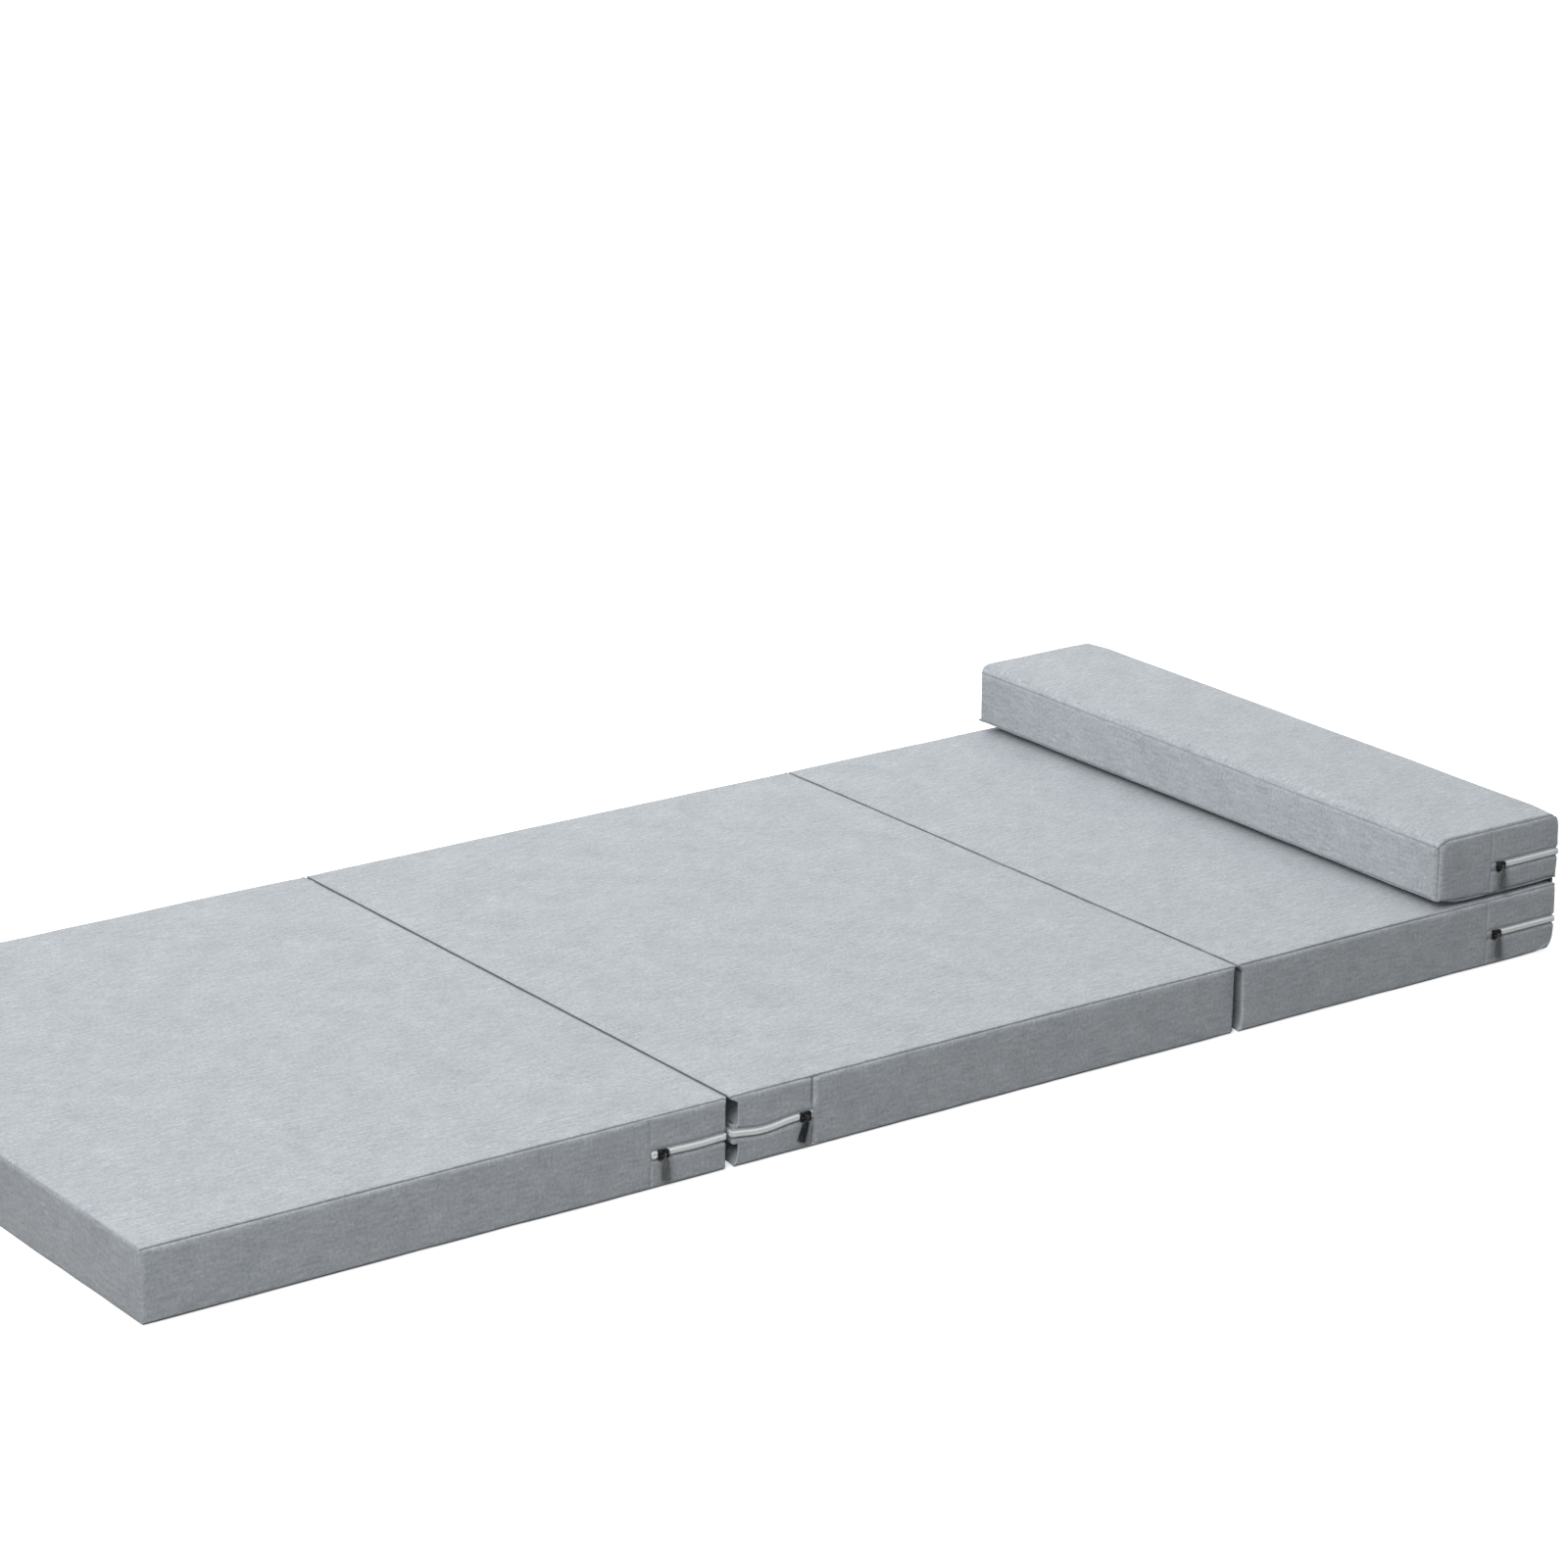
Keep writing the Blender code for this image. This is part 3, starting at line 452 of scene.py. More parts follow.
class Patchwork:
    """Collects grids of nominal points into one welded mesh. Each face keeps the number of its side."""

    def __init__(self):
        self.points = []
        self.faces = []
        self.sides = []

    def grid(self, face, side, first, second, outward):
        """Adds the grid face(u, v) over two lists of stations."""
        faces = strip_faces(len(first), len(second), len(self.points), not outward)
        self.points += [face(u, v) for u in first for v in second]
        self.faces += faces
        self.sides += [side] * len(faces)

    def mesh(self, name):
        mesh = bpy.data.meshes.new(name)
        mesh.from_pydata(self.points, [], self.faces)
        mesh.attributes.new("side", "INT", "FACE").data.foreach_set("value", self.sides)
        work = bmesh.new()
        work.from_mesh(mesh)
        bmesh.ops.remove_doubles(work, verts=work.verts, dist=1e-6)
        work.to_mesh(mesh)
        work.free()
        return mesh


def lay_flat(mesh, section):
    """Writes where each corner of each face lies on the flat cloth, in metres, as a UV map."""
    count = len(mesh.polygons)
    sides, totals = np.zeros(count, int), np.zeros(count, int)
    mesh.attributes["side"].data.foreach_get("value", sides)
    mesh.polygons.foreach_get("loop_total", totals)
    corners = np.zeros(len(mesh.loops), int)
    mesh.loops.foreach_get("vertex_index", corners)
    side = np.repeat(sides, totals)
    x, y, z = points_of(mesh)[corners].T
    wide, long = section.side, section.end
    y = y * section.near
    u = np.choose(side, [x, x - long, 2 * wide + long - x, wide - y, y - wide - 2 * long])
    v = np.where(side == LEVEL, y, z)
    mesh.uv_layers.new(name="cloth").data.foreach_set("uv", np.column_stack([u, v]).ravel())
    mesh.attributes.remove(mesh.attributes["side"])


class Cuts:
    """The lines along which a section's cover is cut."""

    def __init__(self, section):
        top, under = section.zone_z[1], section.zone_z[-1]
        share = section.form["under_share"]
        self.top_seam = [section.height - top * (1 - SEAM_SHARE) + side * SEAM_HALF for side in (-1, 1)]
        self.under_seam = [under * (1 - share) + side * SEAM_HALF for side in (-1, 1)]
        self.slot = [section.zip_z - SLOT / 2, section.zip_z + SLOT / 2]
        self.seam_x = [section.seam_x - SEAM_HALF, section.seam_x + SEAM_HALF]
        zone_x, zone_y = section.zone_x, section.zone_y
        self.xs = stations(-section.end, section.end, zone_x[-1], zone_x[1], [section.seam_x])
        self.ys = stations(-section.side, section.side, zone_y, zone_y)
        low, high = self.slot
        beside = [low - d for d in (0,) + BESIDE_SEAM] + [high + d for d in (0,) + BESIDE_SEAM]
        beside += [self.top_seam[0] - d for d in BESIDE_SEAM]
        beside += [self.under_seam[1] + d for d in BESIDE_SEAM]
        ends = zone_lines(0.0, under, 1) + zone_lines(section.height, top, -1)
        above = [high + (section.height - top - high) * share for share in UPPER_BAND_SHARES]
        below = [under + (low - under) * 0.5]
        self.zs = sorted(set(round(z, 7) for z in beside + ends + above + below))


def side_grids(work, section, cuts, low, high, run):
    """Upright stretches of the cover between two heights. A run is a list of (side, start, stop)."""
    heights = between(cuts.zs, low, high)
    for side, start, stop in run:
        if side in (NEAR, FAR):
            y = section.near * section.side * (1 if side == NEAR else -1)
            work.grid(lambda u, v: (u, y, v), side, between(cuts.xs, start, stop), heights, y < 0)
        else:
            x = section.end * (1 if side == ZIPPED else -1)
            work.grid(lambda u, v: (x, u, v), side, between(cuts.ys, start, stop), heights, x > 0)


def panel_mesh(section, cuts, word):
    work = Patchwork()
    end, side = section.end, section.side
    whole = [(NEAR, -end, end), (FAR, -end, end), (ZIPPED, -side, side), (PLAIN_END, -side, side)]
    zipped = [(NEAR, cuts.seam_x[1], end), (ZIPPED, -side, side), (FAR, cuts.seam_x[1], end)]
    under, top = cuts.under_seam[1], cuts.top_seam[0]
    low, high, run = {
        "top_panel": (cuts.top_seam[1], section.height, whole),
        "under_panel": (0.0, cuts.under_seam[0], whole),
        "near_side_panel": (under, top, [(NEAR, -end, cuts.seam_x[0])]),
        "far_side_panel": (under, top, [(FAR, -end, cuts.seam_x[0])]),
        "end_panel": (under, top, [(PLAIN_END, -side, side)]),
        "upper_zip_band": (cuts.slot[1], top, zipped),
        "lower_zip_band": (under, cuts.slot[0], zipped)}[word]
    if run == whole:
        level = section.height if word == "top_panel" else 0.0
        work.grid(lambda u, v: (u, v, level), LEVEL, cuts.xs, cuts.ys, level > 0)
    side_grids(work, section, cuts, low, high, run)
    return work.mesh(section.name + "_" + word)


def seam_strength(section, points, normals):
    """How far the seams sink at each point: faint below, at the ends and along the zip."""
    form = section.form
    upper = smooth((points[:, 2] / section.height - 0.5) * 3 + 0.5)
    strength = form["under_seam"] + (1 - form["under_seam"]) * upper
    strength *= 1 - (1 - form["end_seam"]) * normals[:, 0] ** 2
    low, high = form["side_under"], section.height - form["side_top"]
    between_seams = (points[:, 2] > low) & (points[:, 2] < high)
    far_seam = np.where(points[:, 2] > section.height / 2, form["far_seam"], form["end_seam"])
    strength = np.where(normals[:, 0] < -0.6, far_seam, strength)
    at_corner = between_seams & (points[:, 0] < 0) & (np.abs(normals[:, 0] * normals[:, 1]) > 0.2)
    strength = np.where(at_corner, form["corner_seam"], strength)
    from_seam = points[:, 0] - section.seam_x
    at_zip = between_seams & (np.abs(normals[:, 1]) > 0.9) & (np.abs(from_seam) < ZIP_SEAM_REACH)
    strength = np.where(at_zip, form["zip_seam"], strength)
    in_zip = (from_seam > -ZIP_EDGE_START) & (np.abs(points[:, 2] - section.zip_z) < SLOT)
    return np.where(in_zip, ZIP_EDGE, strength)


def sink_borders(section, points, normals, mesh):
    """Rolls a panel's cut edges inwards, so that a seam is a valley."""
    work = bmesh.new()
    work.from_mesh(mesh)
    border = [vert.index for vert in work.verts if vert.is_boundary]
    work.free()
    tree = tree_of(points, border)
    distance = np.array([tree.find(point)[2] for point in points])
    pucker = np.array([noise.noise(Vector(point) / PUCKER_LENGTH) for point in points])
    sink = VALLEY_DEPTH * np.exp(-(distance / VALLEY_WIDTH) ** VALLEY_POWER)
    sink *= seam_strength(section, points, normals)
    sink += PUCKER_HEIGHT * np.maximum(pucker, 0) * np.exp(-distance / PUCKER_REACH)
    return points - normals * sink[:, None]


def waves(points, section):
    """Slow waves of the cloth: how far each point is drawn in."""
    shift = Vector((section.lay.translation.x * 7, 3.1, section.lay.translation.z * 9))
    heights = [noise.noise(Vector(point) / WAVE_LENGTH + shift) for point in points]
    fine = [noise.noise(Vector(point) * 3 / WAVE_LENGTH - shift) for point in points]
    return WAVE_HEIGHT * (0.5 + np.array(heights) + 0.35 * np.array(fine)).clip(0, 2)


# Puffing: a pressed cloth hull shows how far each face of the cover stands out

class Puff:
    """How far the cover stands out over the nominal box, from a cloth simulation of the whole cover."""

    def __init__(self, section):
        end, side, height = section.end, section.side, section.height
        self.section = section
        xs, ys = self.spread(-end, end), self.spread(-side, side)
        zs = self.spread(0, height)
        # Each face: its axis, its place there, its lines along the other axes, and these axes
        self.sides = [(0, -end, ys, zs, (1, 2)), (0, end, ys, zs, (1, 2)),
                      (1, -side, xs, zs, (0, 2)), (1, side, xs, zs, (0, 2)),
                      (2, 0.0, xs, ys, (0, 1)), (2, height, xs, ys, (0, 1))]
        self.fields = [np.zeros((len(us), len(vs))) for _, _, us, vs, _ in self.sides]
        self.simulate()

    @staticmethod
    def face(axis, place, others):
        """A function that gives the point of a face of the box for its two coordinates there."""
        def point_at(u, v):
            point = [0.0, 0.0, 0.0]
            point[axis], point[others[0]], point[others[1]] = place, u, v
            return tuple(point)
        return point_at

    def spread(self, low, high):
        count = max(2, round((high - low) / PUFF_GRID))
        return np.linspace(low, high, count + 1)

    def simulate(self):
        work = Patchwork()
        for axis, place, us, vs, others in self.sides:
            work.grid(self.face(axis, place, others), LEVEL, us, vs, (place > 0) == (axis != 1))
        mesh = work.mesh(self.section.name + "_puff")
        nominal = points_of(mesh).copy()
        rest, normals = rounded(self.section, nominal)
        rest = softened(self.section, rest)
        set_points(mesh, rest)
        hull = new_object(mesh.name, mesh)
        pinned = hull.vertex_groups.new(name="sewn")
        for index, point in enumerate(nominal):
            pinned.add([index], EDGE_PIN if self.faces_at(point) > 1 else FACE_PIN, "REPLACE")
        cloth = hull.modifiers.new("puff", "CLOTH")
        cloth.settings.use_pressure = True
        cloth.settings.uniform_pressure_force = PUFF_PRESSURE
        cloth.settings.effector_weights.gravity = 0
        cloth.settings.vertex_group_mass = "sewn"
        cloth.settings.pin_stiffness = PIN_STIFFNESS
        cloth.point_cache.frame_start, cloth.point_cache.frame_end = 1, PUFF_FRAMES
        for step in range(1, PUFF_FRAMES + 1):
            bpy.context.scene.frame_set(step)
        depsgraph = bpy.context.evaluated_depsgraph_get()
        moved = points_of(hull.evaluated_get(depsgraph).data)
        out = ((moved - rest) * normals).sum(axis=1).clip(0, PUFF_MOST)
        bpy.context.scene.frame_set(1)
        bpy.data.objects.remove(hull)
        tree = tree_of(nominal, range(len(nominal)))
        for (axis, place, us, vs, others), field in zip(self.sides, self.fields):
            point_at = self.face(axis, place, others)
            for i, u in enumerate(us):
                for j, v in enumerate(vs):
                    field[i, j] = out[tree.find(point_at(u, v))[1]]

    def faces_at(self, point):
        """How many faces of the box a nominal point lies on."""
        half = (self.section.end, self.section.side, self.section.height / 2)
        centred = (point[0], point[1], point[2] - half[2])
        return sum(abs(abs(c) - h) < 1e-6 for c, h in zip(centred, half))

    def at(self, nominal):
        """The cover's rise at nominal points, read bilinearly from the face that each lies on."""
        rise = np.zeros(len(nominal))
        for (axis, place, us, vs, others), field in zip(self.sides, self.fields):
            on = np.abs(nominal[:, axis] - place) < 1e-6
            u, v = nominal[on][:, others[0]], nominal[on][:, others[1]]
            i = np.clip(np.searchsorted(us, u) - 1, 0, len(us) - 2)
            j = np.clip(np.searchsorted(vs, v) - 1, 0, len(vs) - 2)
            p = ((u - us[i]) / (us[i + 1] - us[i])).clip(0, 1)
            q = ((v - vs[j]) / (vs[j + 1] - vs[j])).clip(0, 1)
            rise[on] = ((1 - p) * (1 - q) * field[i, j] + p * (1 - q) * field[i + 1, j]
                        + (1 - p) * q * field[i, j + 1] + p * q * field[i + 1, j + 1])
        return rise


def surface(section, nominal):
    """Points of the cover's outer face over nominal points, and the normals there."""
    points, normals = rounded(section, nominal)
    points = softened(section, points)
    held = np.exp(-((points[:, 2] - section.zip_z) / CALM_BAND) ** 4) * (1 - normals[:, 2] ** 2)
    held *= smooth((points[:, 0] - section.seam_x) / CALM_BAND + 1)
    for end, word in ((1, "end_tuck"), (-1, "far_tuck")):
        if section.form[word] is not None:
            held = np.maximum(held, np.clip(normals[:, 0] * end, 0, 1))
    loose = PUFF_START - section.puff.at(nominal).clip(0, PUFF_START) + waves(points, section)
    return points - normals * (SKIN + loose * (1 - held))[:, None], normals


def lay_down(section, mesh, points):
    """Gives a mesh its shape and lays it in its place in the world."""
    set_points(mesh, points)
    lay_flat(mesh, section)
    mesh.transform(section.lay)
    shade_smooth(mesh)


def dress(piece, section, slot, *nodes):
    """A piece rides on its section and stands for CAD nodes, which it hides; the slot is not used."""
    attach(piece, section.body)
    if nodes:
        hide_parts(*nodes)


def build_cover(section, cloth):
    cuts = Cuts(section)
    for word in PANELS:
        mesh = panel_mesh(section, cuts, word)
        lay_down(section, mesh, sink_borders(section, *surface(section, points_of(mesh)), mesh))
        piece = new_object(section.name + "_" + word + "_cloth", mesh)
        mesh.materials.append(cloth)
        thick = piece.modifiers.new("cloth_thickness", "SOLIDIFY")
        thick.thickness = FABRIC
        thick.offset = -1
        dress(piece, section, "cover_fabric", section.name + "_" + word)


def build_foam(section, foam):
    core = section.core()
    work = Patchwork()
    xs = stations(-core.end, core.end, core.zone_x[-1], core.zone_x[1], step=FOAM_GRID)
    ys = stations(-core.side, core.side, core.zone_y, core.zone_y, step=FOAM_GRID)
    zs = zone_lines(0.0, core.zone_z[-1], 1) + zone_lines(core.height, core.zone_z[1], -1)
    zs = sorted(set(round(z, 7) for z in zs))
    for side in (-1, 1):
        level = core.height * (side > 0)
        work.grid(lambda u, v: (u, v, level), LEVEL, xs, ys, side > 0)
        work.grid(lambda u, v: (u, side * core.side, v), LEVEL, xs, zs, side < 0)
        work.grid(lambda u, v: (side * core.end, u, v), LEVEL, ys, zs, side > 0)
    mesh = work.mesh(section.name + "_foam")
    points = rounded(core, points_of(mesh))[0] + [0, 0, FOAM_INSET]
    lay_down(section, mesh, softened(section, points))
    piece = new_object(section.name + "_foam", mesh)
    mesh.materials.append(foam)
    dress(piece, section, "foam", section.name + "_foam_core")


# Zip

class Track:
    """The zip's run over the cover: places, outward normals and directions at any distance along it."""

    def __init__(self, section):
        end, side, near = section.end, section.side, section.near
        xs = list(np.arange(section.seam_x + TRACK_START, end, TRACK_STEP)) + [end]
        ys = list(np.arange(-side, side, TRACK_STEP)) + [side]
        run = [(x, near * side) for x in xs] + [(end, -near * y) for y in ys[1:]]
        run += [(x, -near * side) for x in xs[-2::-1]]
        nominal = np.array([(x, y, section.zip_z) for x, y in run])
        points, normals = surface(section, nominal)
        steps = np.linalg.norm(np.diff(points, axis=0), axis=1)
        self.along = np.concatenate([[0], np.cumsum(steps)])
        self.points, self.normals = points, normals
        self.length = self.along[-1]

    def at(self, places):
        """Points, normals, directions and upright vectors at distances along the track."""
        def read(rows, where):
            return np.column_stack([np.interp(where, self.along, rows[:, axis]) for axis in range(3)])
        points, normals = read(self.points, places), read(self.normals, places)
        ahead = read(self.points, places + 0.001) - read(self.points, places - 0.001)
        normals[:, 2] = 0
        up = np.broadcast_to([0.0, 0.0, 1.0], points.shape)
        return points, unit(normals), unit(ahead), up


def ring(sides, radius):
    return [(radius * cos(2 * pi * i / sides), radius * sin(2 * pi * i / sides)) for i in range(sides)]


def tube_faces(rings, sides, start):
    """The faces of a closed tube whose rings of points follow one another from a first index."""
    faces = []
    for i in range(rings - 1):
        for j in range(sides):
            a, b = start + i * sides + j, start + i * sides + (j + 1) % sides
            faces.append((a, b, b + sides, a + sides))
    faces.append(tuple(range(start + sides - 1, start - 1, -1)))
    last = start + (rings - 1) * sides
    faces.append(tuple(range(last, last + sides)))
    return faces


def tube(points, faces, line, first, second, sides, radius):
    """Adds a tube along a line of points; first and second span its cross-section at each point."""
    start = len(points)
    for place, one, other in zip(line, first, second):
        for a, b in ring(sides, radius):
            points.append(place + one * a + other * b)
    faces.extend(tube_faces(len(line), sides, start))


def slider_gap(section):
    """Where the slider sits on the track, as the stretch of coil that it hides."""
    low, high = section.inner_box("_zip_slider")
    return low[0] - section.seam_x + IN_SLIDER, high[0] - section.seam_x - IN_SLIDER


def build_coil(section, track, material):
    """Two rows of interlocking coil teeth. They part behind the slider, or end there."""
    low, high = slider_gap(section)
    first_seen = 0.0 if section.form["open_zip"] else high
    places = np.arange(COIL_PITCH, track.length - COIL_PITCH, COIL_PITCH)
    points, faces = [], []
    for row in (-1, 1):
        here = places + row * COIL_PITCH / 4
        base, normals, ahead, up = track.at(here)
        part = row * COIL_PARTED * smooth((low + 0.001 - here) / 0.006)
        for index, place in enumerate(here):
            if low < place < high or place < first_seen:
                continue
            line = [base[index] + up[index] * (row * share * COIL_HALF + part[index])
                    + normals[index] * rise for share, rise in COIL_PROFILE]
            across = [up[index]] + [normals[index]] * (len(line) - 1)
            tube(points, faces, line, [ahead[index]] * len(line), across, COIL_SIDES, COIL_WIRE)
    # The bed below the teeth, from one side of the slider to the other
    for start, stop in ((TRACK_END, low), (high, track.length - TRACK_END)):
        if start < first_seen:
            continue
        places = np.linspace(start, stop, max(3, round((stop - start) / BED_STEP)))
        add_band(section, track.at(places), BED_PROFILE, COIL_HALF, points, faces)
    piece = mesh_piece(section.name + "_zip_coil", points, faces, material, section.lay)
    dress(piece, section, "zip_chain", section.name + "_zip_chain")


def add_band(section, places, profile, half, points, faces):
    """Adds a band along the track with one profile: shares of its half width, and how far each rises."""
    base, normals, _, up = places
    faces += strip_faces(len(base), len(profile), len(points), section.near > 0)
    for index in range(len(base)):
        points += [base[index] + up[index] * share * half + normals[index] * rise
                   for share, rise in profile]


def build_tape(section, track, material):
    """The woven tape below the cover's edges, with a low cord where the coil is sewn on."""
    places = np.linspace(TRACK_END, track.length - TRACK_END, round(track.length / TAPE_STEP))
    base, normals, ahead, up = track.at(places)
    base[0] -= ahead[0] * TAPE_TUCK
    base[-1] += ahead[-1] * TAPE_TUCK
    profile = [(share, rise - TAPE_SINK) for share, rise in TAPE_PROFILE]
    points, faces = [], []
    add_band(section, (base, normals, ahead, up), profile, TAPE_HALF, points, faces)
    piece = mesh_piece(section.name + "_zip_tape", points, faces, material, section.lay)
    dress(piece, section, "zip_chain")


def build_stitches(section, track, material):
    """Rows of short stitches in the cover beside the zip."""
    places = np.arange(STITCH_PITCH, track.length - STITCH_PITCH, STITCH_PITCH)
    base, normals, ahead, up = track.at(places)
    height = SLOT / 2 + STITCH_FROM_SLOT
    points, faces = [], []
    for side in (-1, 1):
        for index in range(len(places)):
            start = len(points)
            middle = base[index] + up[index] * side * height
            for way, rise, size in STITCH_PROFILE:
                place = middle + ahead[index] * way * STITCH_LENGTH + normals[index] * rise * STITCH_WIRE
                for a, b in ring(STITCH_SIDES, STITCH_WIRE * size):
                    points.append(place + up[index] * a + normals[index] * b)
            faces.extend(tube_faces(len(STITCH_PROFILE), STITCH_SIDES, start))
    piece = mesh_piece(section.name + "_zip_stitches", points, faces, material, section.lay)
    dress(piece, section, "cover_fabric")


# Hinges of cloth

def build_hinge(name, place, across, down, trough, cord, first, second, rider, material):
    """A cord where the CAD has the welt, and the strip of cloth that joins two sections beside it."""
    low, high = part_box(name + "_hinge_welt")
    depth, radius = cord
    ys = np.linspace(low[1] - HINGE_SPARE, high[1] + HINGE_SPARE, HINGE_ROWS)
    across, down = Vector(across), Vector(down)
    line = [np.array(place + Vector((0, y, 0)) + down * (depth + HINGE_SWAY * sin(y * 47))
                     + across * HINGE_SWAY * sin(y * 61)) for y in ys]
    points, faces = [], []
    tube(points, faces, line, [np.array(across)] * len(ys), [np.array(down)] * len(ys),
         HINGE_CORD_SIDES, radius)
    piece = mesh_piece(name + "_hinge_cord", points, faces, material)
    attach(piece, rider)
    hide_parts(name + "_hinge_welt")
    # The strip, in the darkened hinge cloth, is painted shade: it makes the joint a dark line
    points = [place + Vector((0, y, 0)) + across * a + down * d for y in ys for a, d in trough]
    faces = strip_faces(len(ys), len(trough), 0, True)
    strip = mesh_piece(name + "_hinge_strip", points, faces, material)
    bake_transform(strip)


def build_hinges(foot, middle, head, headrest, material):
    """Two hinges in the row, high and low, and one behind the head end."""
    for name, down, level, first, second in (("foot", (0, 0, -1), foot.height, foot, middle),
                                             ("head", (0, 0, 1), 0.0, middle, head)):
        low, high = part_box(name + "_hinge_welt")
        place = Vector(((low[0] + high[0]) / 2, 0, level))
        build_hinge(name, place, (1, 0, 0), down, ROW_TROUGH, ROW_CORD, first.body, second.body,
                    middle.body, material)
    low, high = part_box("headrest_hinge_welt")
    place = Vector((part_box("head_top_panel")[1][0], 0, (low[2] + high[2]) / 2))
    cord = (place.x - (low[0] + high[0]) / 2, (high[2] - low[2]) / 2 - 0.0001)
    build_hinge("headrest", place, (0, 0, 1), (-1, 0, 0), BACK_TROUGH, cord, head.body,
                headrest.body, head.body, material)


# Materials

class Look:
    """A material under construction, with short calls for its nodes."""

    def __init__(self, name, roughness, metallic=0.0):
        self.material = bpy.data.materials.new(name)
        self.material.use_nodes = True
        self.tree = self.material.node_tree
        self.shader = self.tree.nodes["Principled BSDF"]
        self.shader.inputs["Roughness"].default_value = roughness
        self.shader.inputs["Metallic"].default_value = metallic

    def node(self, kind, settings=(), **inputs):
        made = self.tree.nodes.new(kind)
        for word, value in dict(settings).items():
            setattr(made, word, value)
        for word, value in inputs.items():
            self.feed(made.inputs[word.replace("_", " ")], value)
        return made

    def feed(self, socket, value):
        if isinstance(value, bpy.types.NodeSocket):
            self.tree.links.new(value, socket)
        else:
            socket.default_value = value

    def math(self, operation, first, second=0.0, third=0.0, clamp=False):
        made = self.node("ShaderNodeMath", {"operation": operation, "use_clamp": clamp})
        for socket, value in zip(made.inputs, (first, second, third)):
            self.feed(socket, value)
        return made.outputs[0]

    def mix(self, share, first, second):
        """A number between two numbers."""
        return self.math("MULTIPLY_ADD", self.math("SUBTRACT", second, first), share, first)

    def object_place(self):
        return self.node("ShaderNodeTexCoord").outputs["Object"]

    def place(self, u, v, w=0.0):
        made = self.node("ShaderNodeCombineXYZ")
        for socket, value in zip(made.inputs, (u, v, w)):
            self.feed(socket, value)
        return made.outputs[0]

    def noise(self, place, scale=1.0, detail=1.0):
        return self.node("ShaderNodeTexNoise", Vector=place, Scale=scale, Detail=detail).outputs[0]

    def ramp(self, share, stops):
        made = self.node("ShaderNodeValToRGB", Fac=share)
        elements = made.color_ramp.elements
        while len(elements) < len(stops):
            elements.new(0.5)
        for element, (position, colour) in zip(elements, stops):
            element.position = position
            element.color = (*colour, 1)
        return made.outputs[0]

    def finished(self, colour, height, distance, strength=1.0):
        """Joins a colour and a bump map to the shader."""
        bump = self.node("ShaderNodeBump", Height=height, Distance=distance, Strength=strength)
        self.tree.links.new(colour, self.shader.inputs["Base Color"])
        self.tree.links.new(bump.outputs[0], self.shader.inputs["Normal"])
        return self.material


def flat_place(look, layer):
    """Where a point lies on the flat cloth: along its two directions, in metres."""
    if layer:
        place = look.node("ShaderNodeUVMap", {"uv_map": layer}).outputs[0]
        split = look.node("ShaderNodeSeparateXYZ", Vector=place)
        return split.outputs[0], split.outputs[1]
    split = look.node("ShaderNodeSeparateXYZ", Vector=look.object_place())
    return look.math("ADD", split.outputs[0], split.outputs[1]), split.outputs[2]


def woven(name, thread, dark, middle, light, layer=None, mottle=1.0):
    """Heathered plain weave: streaked warp and weft threads, mottled, with a few dark flecks."""
    look = Look(name, 0.92)
    u, v = flat_place(look, layer)
    across_warp = look.math("DIVIDE", u, thread)
    across_weft = look.math("DIVIDE", v, thread)
    warp_wave = look.math("SINE", look.math("MULTIPLY", across_warp, pi))
    weft_wave = look.math("SINE", look.math("MULTIPLY", across_weft, pi))
    crossing = look.math("MULTIPLY", warp_wave, weft_wave)
    warp_over = look.math("MULTIPLY_ADD", crossing, 2.5, 0.5, clamp=True)
    height = look.mix(warp_over, look.math("ABSOLUTE", weft_wave), look.math("ABSOLUTE", warp_wave))
    warp_place = look.place(look.math("MULTIPLY", look.math("FLOOR", across_warp), 7.31),
                            look.math("DIVIDE", v, STREAK))
    weft_place = look.place(look.math("DIVIDE", u, STREAK),
                            look.math("MULTIPLY", look.math("FLOOR", across_weft), 5.17), 9.0)
    yarn = look.mix(warp_over, look.noise(weft_place, detail=2.0), look.noise(warp_place, detail=2.0))
    flat = look.place(u, v)
    grain = look.noise(flat, scale=1 / 0.0035, detail=2.0)
    cloud = look.noise(flat, scale=1 / 0.055, detail=2.0)
    slub = look.noise(look.place(look.math("MULTIPLY", u, 0.22), v), scale=1 / 0.0042, detail=1.0)
    tone = look.mix(0.52, yarn, grain)
    for mottling, amount in ((slub, 0.35), (cloud, 0.22)):
        tone = look.math("MULTIPLY_ADD", look.math("SUBTRACT", mottling, 0.5), amount * mottle, tone)
    # Painted shade: the tone is darkened where the weave lies low, between the threads
    hollow = look.math("MULTIPLY", look.math("SUBTRACT", 1.0, height), 0.16)
    tone = look.math("SUBTRACT", tone, hollow)
    fleck = look.noise(flat, scale=1 / 0.0024, detail=0.0)
    fleck = look.math("MULTIPLY", look.math("SUBTRACT", fleck, 0.70, clamp=True), 1.5)
    tone = look.math("SUBTRACT", tone, fleck)
    colour = look.ramp(tone, [(0.20, dark), (0.46, middle), (0.72, light)])
    rise = look.math("MULTIPLY_ADD", grain, 0.5, height)
    look.shader.inputs["Sheen Weight"].default_value = 0.22
    look.shader.inputs["Sheen Roughness"].default_value = 0.45
    look.shader.inputs["Specular IOR Level"].default_value = 0.25
    return look.finished(colour, rise, thread * 0.28, 0.7)


def foam_look():
    look = Look("open_cell_foam", 0.95)
    cells = look.node("ShaderNodeTexVoronoi", Vector=look.object_place(), Scale=700.0)
    cells = cells.outputs["Distance"]
    colour = look.ramp(cells, [(0.1, (0.80, 0.77, 0.66)), (0.6, (0.89, 0.87, 0.79))])
    return look.finished(colour, cells, 0.0004)


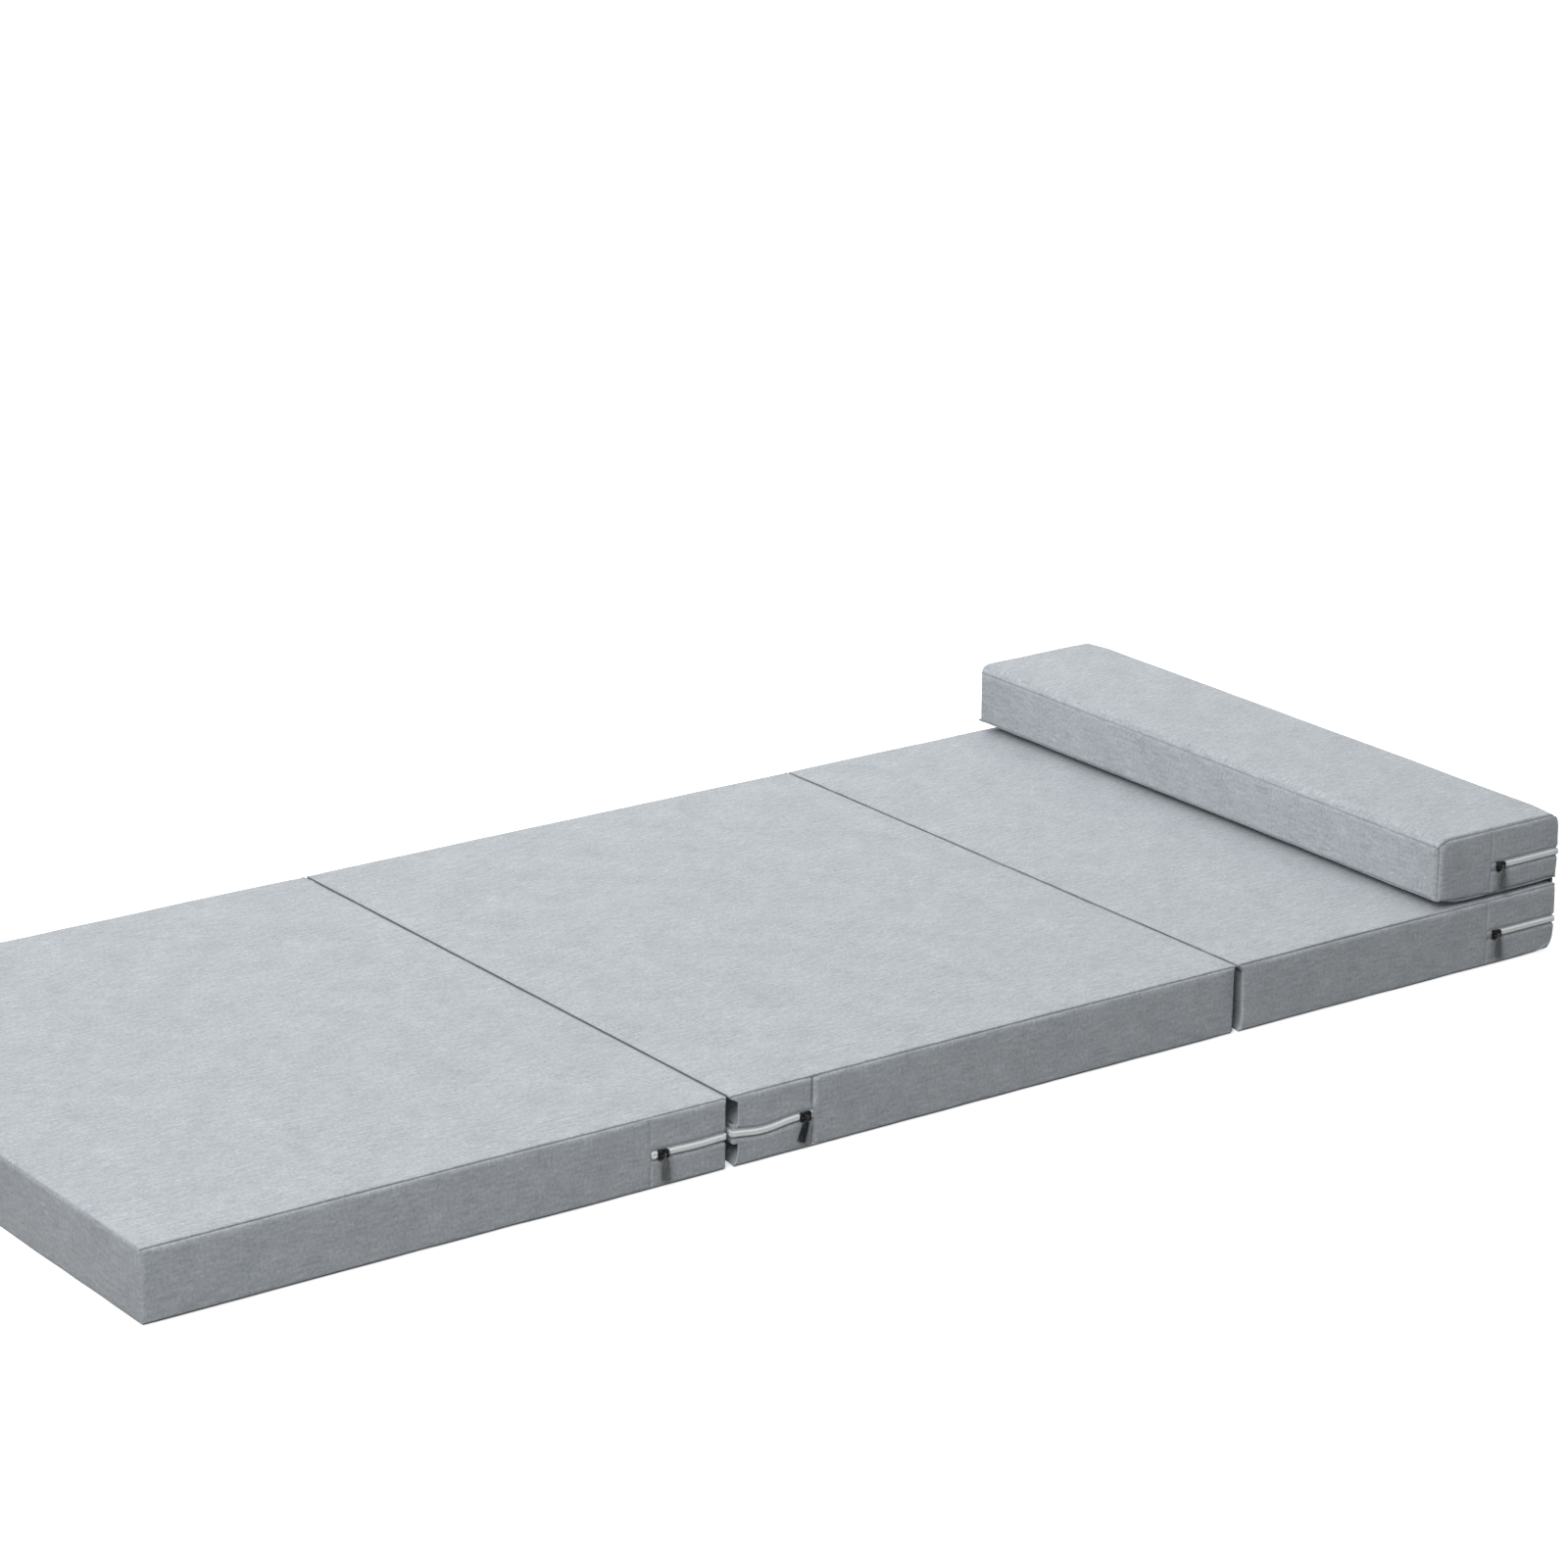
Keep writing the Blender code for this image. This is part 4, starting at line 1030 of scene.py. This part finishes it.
def coil_look():
    look = Look("zip_coil", 0.30)
    wear = look.noise(look.object_place(), scale=900.0, detail=2.0)
    colour = look.ramp(wear, [(0.3, (0.92, 0.93, 0.93)), (0.65, (0.98, 0.99, 0.99))])
    return look.finished(colour, wear, 0.00004, 0.5)


def metal_look(name, dark, worn, roughness, metallic):
    """Painted metal, a little cloudy, with paler metal where it is rubbed."""
    look = Look(name, roughness, metallic)
    place = look.object_place()
    cloud = look.noise(place, scale=320.0, detail=3.0)
    drawn = look.node("ShaderNodeMapping", Vector=place, Scale=(900.0, 900.0, 120.0)).outputs[0]
    scratch = look.noise(drawn)
    both = look.math("ADD", cloud, scratch)
    rubbed = look.math("MULTIPLY", look.math("SUBTRACT", both, 1.08, clamp=True), 3.0)
    colour = look.ramp(rubbed, [(0.0, dark), (0.8, worn)])
    uneven = look.math("MULTIPLY_ADD", cloud, 0.25, roughness - 0.12)
    look.tree.links.new(uneven, look.shader.inputs["Roughness"])
    return look.finished(colour, scratch, 0.00003, 0.4)


def make_looks():
    cloth, slider = (CLOTH_DARK, CLOTH_MIDDLE, CLOTH_LIGHT), (0.035, 0.037, 0.040)
    pull, dark_pull = (0.20, 0.205, 0.205), (0.045, 0.047, 0.050)
    return {
        "cloth": woven("woven_fabric", THREAD, *cloth, layer="cloth"),
        "tape": woven("zip_tape", THREAD * 0.6, *cloth, mottle=0.3),
        "stitch": woven("sewing_thread", THREAD * 0.3, CLOTH_MIDDLE, *cloth[1:], mottle=0.3),
        # Hinge cloth darkened as painted shade, for the shadowed line along each joint
        "welt": woven("hinge_painted_shade_cloth", THREAD * 0.6, HINGE_PAINTED_SHADE, HINGE_PAINTED_SHADE, CLOTH_DARK, mottle=0.6),
        "foam": foam_look(),
        "coil": coil_look(),
        "slider": metal_look("zip_slider_metal", slider, (0.30, 0.30, 0.30), 0.38, 0.6),
        "pull": metal_look("zip_pull_metal", pull, (0.40, 0.40, 0.40), 0.5, 0.3),
        "dark_pull": metal_look("zip_pull_dark_metal", dark_pull, (0.24, 0.24, 0.24), 0.45, 0.4),
    }


def finish_metal(section, looks):
    """The CAD's own sliders and pulls stay, with better materials."""
    pull = looks["dark_pull"] if section.name == "middle" else looks["pull"]
    for word, look in (("_zip_slider", looks["slider"]), ("_zip_pull", pull)):
        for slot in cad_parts[section.name + word].material_slots:
            slot.material = look


# Camera, floor and light

def build_camera():
    data = bpy.data.cameras.new("camera")
    data.lens = CAMERA_LENS
    data.sensor_width = SENSOR
    camera = new_object("camera", data)
    right, down = Vector(CAMERA_RIGHT).normalized(), Vector(CAMERA_DOWN)
    up = -(down - right * down.dot(right)).normalized()
    turn = Matrix((right, up, right.cross(up))).transposed()
    camera.matrix_world = Matrix.Translation(CAMERA_PLACE) @ turn.to_4x4()
    bpy.context.scene.camera = camera


def blank_tree(owner):
    owner.use_nodes = True
    owner.node_tree.nodes.clear()
    return owner.node_tree


def shader_node(tree, kind, colour=None, strength=None):
    node = tree.nodes.new(kind)
    for word, value in (("Color", colour), ("Strength", strength)):
        if value is not None:
            node.inputs[word].default_value = value
    return node


def by_light_path(tree, others, camera, output):
    """Ends a tree with one shader for the camera and one for all other rays."""
    path, either, end = [tree.nodes.new(kind) for kind in
                         ("ShaderNodeLightPath", "ShaderNodeMixShader", output)]
    tree.links.new(path.outputs["Is Camera Ray"], either.inputs[0])
    tree.links.new(others.outputs[0], either.inputs[1])
    tree.links.new(camera.outputs[0], either.inputs[2])
    tree.links.new(either.outputs[0], end.inputs[0])


def build_floor():
    """A plain pale floor. The camera sees it glow white, with the object's shadow on it."""
    material = bpy.data.materials.new("floor")
    tree = blank_tree(material)
    shown = shader_node(tree, "ShaderNodeBsdfDiffuse", (FLOOR_SHOWN,) * 3 + (1,))
    bounced = shader_node(tree, "ShaderNodeBsdfDiffuse", (FLOOR_BOUNCE,) * 3 + (1,))
    glow = shader_node(tree, "ShaderNodeEmission", strength=FLOOR_GLOW)
    seen = tree.nodes.new("ShaderNodeAddShader")
    tree.links.new(shown.outputs[0], seen.inputs[0])
    tree.links.new(glow.outputs[0], seen.inputs[1])
    by_light_path(tree, bounced, seen, "ShaderNodeOutputMaterial")
    half = FLOOR_SIZE / 2
    corners = [(-half, -half, 0), (half, -half, 0), (half, half, 0), (-half, half, 0)]
    floor = mesh_piece("floor", corners, [(0, 1, 2, 3)], material)
    floor.location.z = -FLOOR_GAP


def build_sky():
    """An even studio sky, white to the camera."""
    world = bpy.data.worlds.new("studio")
    bpy.context.scene.world = world
    tree = blank_tree(world)
    soft = shader_node(tree, "ShaderNodeBackground", (0.97, 0.99, 1.0, 1), SKY)
    white = shader_node(tree, "ShaderNodeBackground", (1, 1, 1, 1), 1.0)
    by_light_path(tree, soft, white, "ShaderNodeOutputWorld")


def build_light(name, place, power):
    data = bpy.data.lights.new(name, "AREA")
    data.shape = "DISK"
    data.size = LIGHT_SIZE
    data.energy = power
    light = new_object(name, data)
    light.location = place
    light.rotation_euler = (-Vector(place)).to_track_quat("-Z", "Y").to_euler()


looks = make_looks()
sections = [Section("foot", "upright"), Section("middle", "turned"), Section("head", "upright"),
            Section("headrest", "upended")]
for section in sections:
    section.puff = Puff(section)
    build_cover(section, looks["cloth"])
    build_foam(section, looks["foam"])
    track = Track(section)
    build_tape(section, track, looks["tape"])
    build_coil(section, track, looks["coil"])
    build_stitches(section, track, looks["stitch"])
    finish_metal(section, looks)

build_hinges(*sections, looks["welt"])
build_camera()
build_floor()
build_sky()
for name, (place, power) in LIGHTS.items():
    build_light(name, place, power)
bpy.context.scene.view_settings.view_transform = "Standard"
